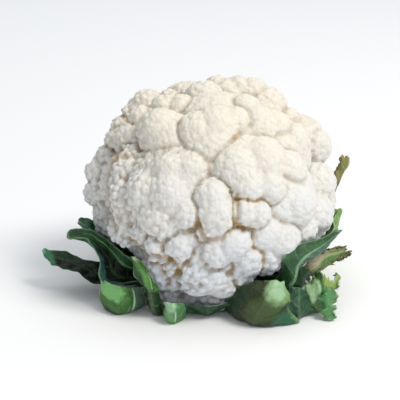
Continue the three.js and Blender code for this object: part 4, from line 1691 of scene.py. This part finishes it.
THIN_RIB = (4.0, 2.4, 1.0, 0.6, 0.4)
FRONT_LEAVES = (
    # Painted shade and light: the near-black skins are darkened as shade on a face turned from the light,
    # the first spot is a painted sheen band and the third a painted highlight on the tip's edge.
    Leaf("leaf_left_long", Tone.DARK, replace(
        DARK_LEAF, name="long_leaf", outer=linear(24, 32, 20), inner=linear(22, 34, 20),
        shade=linear(14, 18, 10),
        vein_share=0.12, rib_share=0.2, rim=linear(60, 112, 84), rim_share=0.35, sheen=0.15, spots=(
            Spot(linear(34, 68, 40), 0.72, -0.5, 0.3, 0.45), Spot(linear(62, 122, 84), 1.0, 0.0, 0.16, 1.6),
            Spot(linear(120, 176, 160), 1.0, -0.6, 0.07, 0.5))), (
        ((-20, 2, 9), (-22, -6, 6), (-20, -14, 9)),
        ((-52, 0, 12), (-50, -14, 7), (-46, -26, 8)),
        ((-79, -8, 16), (-78, -20, 11), (-77, -34, 10)),
        ((-95, -6, 20), (-93, -18, 17), (-91, -32, 16)),
        ((-107, -8, 25), (-106, -19, 22), (-102, -30, 20)),
        ((-118, -12, 28), (-116, -20, 25), (-113, -26, 20))), ruffle=0.8),
    Leaf("leaf_left_scoop", Tone.GREEN, replace(
        GREEN_LEAF, name="scoop_leaf", vein_share=0.1, rib_share=0.1, rim=linear(150, 190, 140), sheen=0.2,
        spots=(
            # The first spot is a painted shadow inside the scoop.
            Spot(linear(14, 18, 10), 0.42, 0.0, 0.32, 0.6, 0.95),
            Spot(linear(66, 110, 104), 0.5, 0.85, 0.3, 0.4),
            Spot(linear(96, 150, 92), 0.5, -0.62, 0.45, 0.05),
            Spot(linear(34, 70, 40), 0.95, -0.2, 0.12, 0.6))), (
        ((-23, -8, 13), (-20, -14, 10), (-15, -19, 13)),
        ((-44, -20, 22), (-44, -30, 12), (-36, -40, 16)),
        ((-54, -38, 31), (-64, -46, 20), (-71, -56, 19)),
        ((-67, -26, 36), (-71, -36, 30), (-76, -48, 35)),
        ((-83, -20, 45), (-84, -30, 40), (-83, -38, 44)),
        ((-99, -22, 44), (-99, -28, 42), (-97, -32, 40))), ruffle=0.8, notch=0.1),
    Leaf("leaf_left_back", Tone.GREEN, replace(
        GREEN_LEAF, name="left_back_leaf", outer=linear(44, 92, 60), inner=linear(44, 96, 62),
        vein_share=0.2), (
        ((-24, 8, 14), (-24, 2, 11), (-23, -5, 14)),
        ((-52, 10, 15), (-54, -1, 10), (-52, -12, 14)),
        ((-74, 4, 32), (-76, -10, 28), (-70, -26, 30)),
        ((-80, 0, 45), (-84, -12, 41), (-78, -26, 40)),
        ((-91, -2, 46), (-93, -5, 45), (-92, -8, 43)))),
    Leaf("leaf_left_short", Tone.LIGHT, replace(
        LIGHT_LEAF, name="short_leaf", vein_share=0.08, rib_share=0.0, rim_share=0.7, spots=(
            # The first two spots are painted shade on the bottom of the bowl, the third a painted highlight
            # on its top.
            Spot(linear(54, 104, 38), 0.58, -0.1, 0.22, 1.4, 0.85, 1.6),
            Spot(linear(26, 54, 22), 0.48, 0.0, 0.14, 1.5),
            Spot(linear(138, 204, 124), 0.9, -0.4, 0.17, 0.6, 0.75, 1.8),
            Spot(linear(84, 104, 96), 0.8, 0.95, 0.3, 0.5),
            Spot(linear(206, 222, 208), 0.78, 0.42, 0.19, 0.032, 0.8),
            Spot(linear(132, 158, 132), 0.6, 0.3, 0.12, 0.03, 0.7))), (
        ((-21, -12, 6), (-18, -17, 4), (-13, -21, 6)),
        ((-48, -28, 7), (-40, -38, 3), (-28, -43, 6)),
        ((-73, -48, 5), (-61, -58, 0), (-42, -49, 2)),
        ((-75, -48, 13), (-59, -66, 11), (-41, -54, 8)),
        ((-76, -46, 23), (-60, -62, 19), (-42, -55, 17))), ruffle=0.8, notch=0.2, belly=3.5),
    Leaf("leaf_left_strap", Tone.LIGHT, replace(
        LIGHT_LEAF, name="strap_leaf", outer=linear(74, 138, 50), vein_share=0.15, rib_share=0.1,
        rim_share=0.7, spots=(
            # The first and third spots are painted shade, on the leaf's dark left side and low down where
            # it bends up off the table.
            Spot(linear(26, 60, 28), 0.6, -0.9, 0.26, 0.8),
            Spot(linear(150, 200, 110), 0.66, 0.3, 0.2, 0.05, 0.7),
            Spot(linear(20, 38, 22), 0.43, 0.0, 0.12, 1.4),
            Spot(linear(196, 204, 164), 0.98, -0.1, 0.13, 1.4))), (
        ((-14, -20, 13), (-10, -22, 10), (-5, -24, 12)),
        ((-30, -46, 12), (-24, -48, 8), (-18, -50, 11)),
        ((-39, -56, 4), (-35, -66, 2), (-30, -64, 3)),
        ((-44, -66, 18), (-39, -74, 20), (-33, -72, 16)),
        ((-49, -68, 28), (-43, -75, 31), (-37, -71, 24)),
        ((-53, -64, 38), (-48, -71, 39), (-42, -69, 32)),
        ((-52, -64, 42), (-50, -68, 42), (-46, -68, 38))), rib_thickness=THIN_RIB, fold=1.5, notch=0.22),
    Leaf("leaf_front_stub", Tone.LIGHT, replace(
        LIGHT_LEAF, name="stub_leaf", outer=linear(116, 166, 116), vein_share=0.08, rib_share=0.0, spots=(
            # The first spot is a painted highlight on the top of the bulb, the second painted shade on its
            # lower right.
            Spot(linear(170, 208, 168), 0.92, -0.5, 0.16, 0.7, 0.8, 1.4),
            Spot(linear(58, 112, 58), 0.6, 0.6, 0.3, 0.5, 0.8),
            Spot(linear(92, 150, 70), 0.5, -0.3, 0.2, 0.8, 0.7),
            Spot(linear(206, 226, 206), 0.72, 0.1, 0.1, 0.04, 0.6))), (
        ((-10, -22, 6), (-5, -24, 4), (0, -24, 6)),
        ((-20, -50, 5), (-14, -52, 3), (-8, -52, 5)),
        ((-30, -68, 3), (-24, -74, 1), (-16, -68, 1)),
        ((-30, -76, 10), (-24, -82, 9), (-16, -76, 8)),
        ((-31, -76, 14), (-25, -81, 15), (-18, -76, 13))), ruffle=0.3, notch=0.08, belly=2.5),
    # Its pale blue rim is a painted highlight along the top edge.
    Leaf("leaf_front_strip", Tone.DARK, replace(
        DARK_LEAF, name="strip_leaf", outer=linear(40, 84, 46), rim=linear(160, 196, 206), rib_share=0.1,
        vein_share=0.15, rim_share=0.8), (
        ((1, -24, 6), (6, -24, 4), (11, -22, 6)),
        ((-6, -46, 5), (4, -48, 3), (14, -44, 5)),
        ((-16, -62, 2), (-2, -64, 1), (13, -60, 3)),
        ((-18, -72, 9), (-2, -75, 8), (14, -70, 9)),
        ((-18, -73, 11), (-2, -76, 11), (14, -72, 12)))),
    # Painted shade and light: the dark olive skin is darkened as shade on a face turned down, the first
    # spot is a painted sheen, and the fourth and fifth, the folded-over inner face, are paler in themselves
    # and painted lighter as lit.
    Leaf("leaf_right_broad", Tone.DARK, replace(
        DARK_LEAF, name="broad_leaf", outer=linear(50, 64, 28), shade=linear(34, 42, 20), vein_share=0.14,
        rib_share=0.1, roughness=0.3, rim=linear(150, 180, 120), spots=(
            Spot(linear(72, 94, 40), 0.64, 0.1, 0.16, 0.5, 0.6),
            Spot(linear(24, 50, 26), 0.62, -1.0, 0.32, 0.5),
            Spot(linear(34, 92, 60), 0.42, 1.0, 0.2, 0.7),
            Spot(linear(130, 166, 108), 0.97, 0.5, 0.26, 0.8, 0.95, 0.8),
            Spot(linear(160, 196, 156), 0.98, 0.3, 0.22, 0.5, 0.8),
            Spot(linear(94, 132, 52), 0.86, 1.0, 0.2, 0.16, 0.8))), (
        ((11, -22, 6), (15, -20, 4), (19, -16, 6)),
        ((14, -44, 5), (26, -50, 3), (38, -44, 5)),
        ((10, -58, 0), (28, -82, 1), (58, -76, 0)),
        ((12, -68, 17), (31, -88, 11), (53, -80, 11)),
        ((19, -74, 24), (37, -89, 23), (51, -80, 20)),
        ((36, -80, 30), (42, -82, 32), (49, -78, 32))), belly=3.0, rib_thickness=THIN_RIB),
    Leaf("leaf_right_lance", Tone.GREEN, replace(
        GREEN_LEAF, name="lance_leaf", outer=linear(46, 88, 50), vein_share=0.2, rib_share=0.45, spots=(
            Spot(linear(60, 108, 88), 0.66, 0.6, 0.34, 0.55, 0.7),
            Spot(linear(96, 142, 104), 0.5, 0.0, 0.3, 0.12))), (
        ((17, -19, 14), (20, -15, 11), (23, -10, 14)),
        ((36, -44, 14), (42, -40, 10), (46, -34, 14)),
        ((47, -66, 32), (51, -62, 23), (55, -54, 19)),
        ((47, -71, 44), (54, -66, 37), (60, -56, 29)),
        ((58, -64, 49), (63, -59, 43), (71, -48, 34)),
        ((75, -48, 49), (77, -44, 45), (83, -36, 40)),
        ((90, -18, 45), (91, -16, 43), (91, -14, 41))), ruffle=0.7, notch=0.12, fold=3.0),
    Leaf("leaf_right_under", Tone.DARK, replace(
        DARK_LEAF, name="under_leaf", outer=linear(24, 56, 26), inner=linear(24, 56, 26), vein_share=0.12,
        sheen=0.2,
        rib_share=0.15), (
        ((21, -13, 14), (22, -8, 11), (24, -3, 14)),
        ((44, -34, 15), (47, -29, 11), (49, -22, 15)),
        ((52, -58, 21), (57, -54, 15), (64, -44, 13)),
        ((57, -56, 29), (62, -52, 22), (68, -44, 18)),
        ((62, -50, 31), (67, -46, 26), (71, -42, 22)))),
    Leaf("leaf_right_torn", Tone.WITHERED, replace(
        WITHERED_LEAF, name="torn_leaf", spots=(
            Spot(linear(186, 172, 148), 0.5, -0.3, 0.15, 0.6, 0.8, 1.6),
            Spot(linear(70, 118, 52), 0.72, 0.4, 0.2, 0.8),
            Spot(linear(142, 154, 96), 0.97, 0.0, 0.1, 1.2),
            Spot(linear(64, 108, 52), 0.44, 0.9, 0.3, 0.35))), (
        ((23, -3, 14), (24, 2, 11), (23, 7, 14)),
        ((50, -16, 15), (52, -10, 11), (53, -3, 15)),
        ((64, -32, 26), (67, -34, 20), (69, -38, 16)),
        ((77, -20, 29), (80, -22, 25), (82, -28, 20)),
        ((91, -11, 30), (93, -14, 26), (93, -20, 22)),
        ((106, -6, 34), (109, -8, 33), (110, -10, 31))), ruffle=2.4, notch=0.5, teeth=0.12,
        rib_thickness=THIN_RIB),
    Leaf("leaf_right_crinkled", Tone.LIGHT, replace(
        LIGHT_LEAF, name="crinkled_leaf", outer=linear(66, 110, 54), inner=linear(60, 104, 52),
        shade=linear(40, 72, 34), vein_share=0.3, rib_share=0.1, spots=(
            # The first spot is a pale patch made paler as painted light, and the third a painted shadow in
            # a hollow.
            Spot(linear(164, 200, 150), 0.66, -0.55, 0.2, 0.5, 0.85, 1.4),
            Spot(linear(136, 164, 76), 0.86, 0.4, 0.14, 0.6),
            Spot(linear(44, 32, 36), 1.0, 0.2, 0.09, 0.5),
            Spot(linear(44, 118, 60), 2.5, 0.0, 0.8, 3.0, 0.85))), (
        ((21, -13, 6), (22, -8, 4), (24, -3, 6)),
        ((48, -36, 5), (52, -30, 3), (56, -20, 5)),
        ((61, -60, 7), (69, -61, 1), (81, -50, 2)),
        ((62, -58, 14), (71, -66, 11), (87, -50, 8)),
        ((64, -54, 19), (76, -62, 20), (88, -48, 15)),
        ((70, -46, 22), (77, -52, 27), (85, -44, 22))), ruffle=2.2, notch=0.3, teeth=0.08, flap=(
        ((75, -62, 15), (77, -63, 16), (80, -62, 15)),
        ((74, -69, 12), (77, -72, 12), (81, -69, 11)),
        ((73, -73, 6), (77, -76, 6), (83, -72, 6)),
        ((74, -75, 1), (77, -78, 0), (82, -75, 1))), rib_thickness=THIN_RIB),
    Leaf("leaf_right_dark", Tone.DARK, replace(
        DARK_LEAF, name="right_dark_leaf", outer=linear(38, 82, 54), shade=linear(22, 50, 34),
        vein_share=0.3,
        rib_share=0.35), (
        ((17, -19, 6), (19, -16, 4), (22, -12, 6)),
        ((38, -48, 5), (44, -44, 3), (50, -38, 5)),
        ((48, -76, 9), (56, -74, 3), (68, -64, 3)),
        ((49, -74, 17), (57, -76, 13), (66, -66, 10)),
        ((52, -66, 21), (58, -68, 20), (64, -62, 16)))),
    Leaf("leaf_right_tip", Tone.LIGHT, replace(
        LIGHT_LEAF, name="right_tip_leaf", inner=linear(120, 160, 66), outer=linear(120, 160, 66)), (
        ((23, 6, 6), (24, 11, 4), (22, 16, 6)),
        ((60, 6, 12), (62, 18, 8), (60, 30, 12)),
        ((82, 2, 30), (86, 20, 26), (78, 34, 30)),
        ((88, 6, 44), (92, 18, 42), (86, 30, 44)),
        ((92, 18, 46), (94, 20, 46), (95, 26, 41)))),
    Leaf("leaf_back_right", Tone.WITHERED, replace(
        WITHERED_LEAF, name="back_right_leaf", outer=linear(136, 132, 58), inner=linear(140, 134, 60),
        rib_share=0.8, spots=(Spot(linear(84, 100, 36), 0.95, 0.5, 0.12, 0.6),)), (
        ((21, 10, 14), (19, 16, 11), (15, 20, 14)),
        ((60, 26, 24), (58, 36, 18), (50, 46, 24)),
        ((86, 26, 50), (85, 44, 46), (76, 54, 50)),
        ((90, 38, 66), (96, 46, 66), (95, 54, 65)),
        ((91, 38, 77), (100, 46, 72), (99, 52, 73)),
        ((96, 44, 80), (100, 46, 81), (100, 50, 77))), ruffle=1.5, notch=0.4, teeth=0.1),
)


@dataclass(frozen=True)
class BackLeaf:
    """A cut leaf of the back: out along the ground, then up round the head. Lengths are in millimetres."""

    name: str
    tone: Tone
    finish: LeafFinish
    azimuth: float
    reach: float
    rise: float
    half_width: float
    base: float
    stalk_radius: float = 24.0
    cup: float = 0.25

    def leaf(self) -> Leaf:
        """Draws its stations, each from a distance, a height, a half-width and the lift of its edges."""
        profile = (
            (self.stalk_radius - 2, self.base, 7.0, self.cup),
            (self.stalk_radius * 2, self.base, self.half_width * 0.5, self.cup),
            (self.reach * 0.86, self.base + self.rise * 0.2, self.half_width, self.cup),
            (self.reach, self.rise * 0.62, self.half_width, 0.0),
            (self.reach * 0.98, self.rise, self.half_width * 0.7, 0.0),
        )
        stations = []
        for distance, height, half, cup in profile:
            angles = [math.radians(self.azimuth) + side * half / distance for side in (-1, 0, 1)]
            lifts = [height + half * cup, height, height + half * cup]
            stations.append(tuple(
                (distance * math.cos(angle), distance * math.sin(angle), lift)
                for angle, lift in zip(angles, lifts)
            ))
        return Leaf(self.name, self.tone, self.finish, tuple(stations), notch=0.2)


BACK_LEAVES = (
    BackLeaf("leaf_back_1", Tone.GREEN, replace(GREEN_LEAF, name="back_leaf_1"), 62, 84, 38, 22, 4),
    BackLeaf("leaf_back_2", Tone.DARK, replace(DARK_LEAF, name="back_leaf_2"), 88, 92, 52, 17, 11),
    BackLeaf("leaf_back_3", Tone.GREEN, replace(GREEN_LEAF, name="back_leaf_3"), 112, 80, 30, 23, 4),
    BackLeaf("leaf_back_4", Tone.DARK, replace(DARK_LEAF, name="back_leaf_4"), 140, 92, 56, 18, 11),
    BackLeaf("leaf_back_5", Tone.GREEN, replace(GREEN_LEAF, name="back_leaf_5"), 160, 86, 34, 20, 4),
)


# The stalk


@dataclass
class Stalk:
    """The short cut stalk. Lengths are in millimetres."""

    radius: float = 24.0
    height: float = 18.6
    edge: float = 1.5
    swelling: float = 0.8
    swelling_end: float = 0.9
    sides: int = 96
    rings: int = 18
    face_rings: int = 6
    innermost: float = 0.15
    roughness: float = 0.35
    scars_round: float = 4.0
    scars_up: float = 0.25

    def build(self) -> bpy.types.Object:
        """Turns the stalk, scars its side and dresses it.

        Returns:
            The finished piece.
        """
        shares = np.linspace(self.innermost, 1, self.face_rings)
        inner = [(self.radius - self.edge) * share for share in shares]
        profile = [(radius, 0.0) for radius in inner]
        for share in np.linspace(0, 1, self.rings):
            bulge = self.swelling * math.sin(math.pi * min(1.0, share * self.swelling_end))
            profile.append((self.radius + bulge, self.edge + share * (self.height - self.edge)))
        profile += [(radius, self.height) for radius in reversed(inner)]
        points = []
        for row, (radius, height) in enumerate(profile):
            on_side = self.face_rings <= row < self.face_rings + self.rings
            for turn in np.linspace(0, 2 * np.pi, self.sides, endpoint=False):
                x, y = math.cos(turn), math.sin(turn)
                place = (x * self.scars_round, y * self.scars_round, height * self.scars_up)
                scar = noise.noise(Vector(place))
                rim = radius + (self.roughness * scar if on_side else 0.0)
                points.append((rim * x, rim * y, height))
        number = np.arange(len(points)).reshape(-1, self.sides)
        ahead = np.roll(number, -1, axis=1)
        walls = np.stack([number[:-1], ahead[:-1], ahead[1:], number[1:]], axis=-1).reshape(-1, 4).tolist()
        faces = [tuple(face) for face in walls] + [tuple(number[0][::-1]), tuple(number[-1])]
        skin = Skin(np.array(points), faces)
        return show(skin, "stalk_flesh", StalkFinish().material(), "stalk")


# The studio


@dataclass(frozen=True)
class Lamp:
    """A soft square lamp that looks at the head. Lengths are in metres, the power in watts."""

    name: str
    place: Point
    size: float
    power: float
    colour: Colour

    def hang(self, aim_height: float) -> None:
        """Hangs the lamp.

        Args:
            aim_height: How high over the table it looks.
        """
        light = bpy.data.lights.new(self.name, "AREA")
        light.size = self.size
        light.energy = self.power
        light.color = self.colour
        lamp = bpy.data.objects.new(self.name, light)
        lamp.location = self.place
        # A lamp behind the head looks straight down instead.
        aim = Vector((0.0, max(0.0, self.place[1]), aim_height))
        lamp.rotation_euler = (aim - Vector(self.place)).to_track_quat("-Z", "Y").to_euler()
        bpy.context.scene.collection.objects.link(lamp)


SKY: Colour = (0.93, 0.96, 1.0)
LAMPS = (
    Lamp("key_lamp", (0.9, -0.55, 1.4), 0.6, 18.5, (1.0, 0.97, 0.92)),
    Lamp("fill_lamp", (0.1, -1.5, 0.4), 1.2, 4.5, (0.92, 0.96, 1.0)),
    Lamp("back_lamp", (0.0, 1.3, 1.6), 2.4, 18.0, SKY),
)


@dataclass
class Studio:
    """The table, the lights and the camera. Lengths are in metres."""

    table_half: float = 3.0
    sky_strength: float = 0.42
    aim_height: float = 0.06
    millimetres_a_pixel: float = 0.7
    picture_width: int = 400
    film: float = 36.0

    def table(self) -> None:
        """Lays the table."""
        half = self.table_half
        points = np.array([(-half, -half, 0), (half, -half, 0), (half, half, 0), (-half, half, 0)]) / MM
        table = bpy.data.objects.new("table", Skin(points, [(0, 1, 2, 3)]).mesh("table"))
        table.data.materials.append(TableFinish().material())
        bpy.context.scene.collection.objects.link(table)
        table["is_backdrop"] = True

    def sky_light(self) -> None:
        """Fills the room with pale light."""
        world = bpy.data.worlds.new("room")
        world.use_nodes = True
        background = world.node_tree.nodes["Background"]
        background.inputs["Color"].default_value = (*SKY, 1.0)
        background.inputs["Strength"].default_value = self.sky_strength
        bpy.context.scene.world = world

    def camera(self) -> None:
        """Sets up the camera on the line of sight."""
        data = bpy.data.cameras.new("camera")
        data.sensor_width = self.film
        distance = VIEW_DISTANCE * MM
        data.lens = self.film * distance / (self.millimetres_a_pixel * MM) / self.picture_width
        camera = bpy.data.objects.new("camera", data)
        camera.location = Vector(EYE * MM)
        camera.rotation_euler = Vector(-VIEW_BACK).to_track_quat("-Z", "Y").to_euler()
        bpy.context.scene.collection.objects.link(camera)
        bpy.context.scene.camera = camera

    def build(self) -> None:
        """Sets the whole studio up."""
        self.table()
        self.sky_light()
        for lamp in LAMPS:
            lamp.hang(self.aim_height)
        self.camera()
        bpy.context.scene.view_settings.view_transform = "Standard"


def main() -> None:
    """Builds the studio, the stalk, the curd and the leaves in order."""
    logging.basicConfig(level=logging.INFO, format="%(name)s: %(message)s")
    solid_box = [corner.copy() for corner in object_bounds()]
    Studio().build()
    Stalk().build()
    Curd().build()
    leaves = [*FRONT_LEAVES, *(back.leaf() for back in BACK_LEAVES)]
    for seed, leaf in enumerate(leaves, start=1):
        leaf.build(seed)


if __name__ == "__main__":
    main()
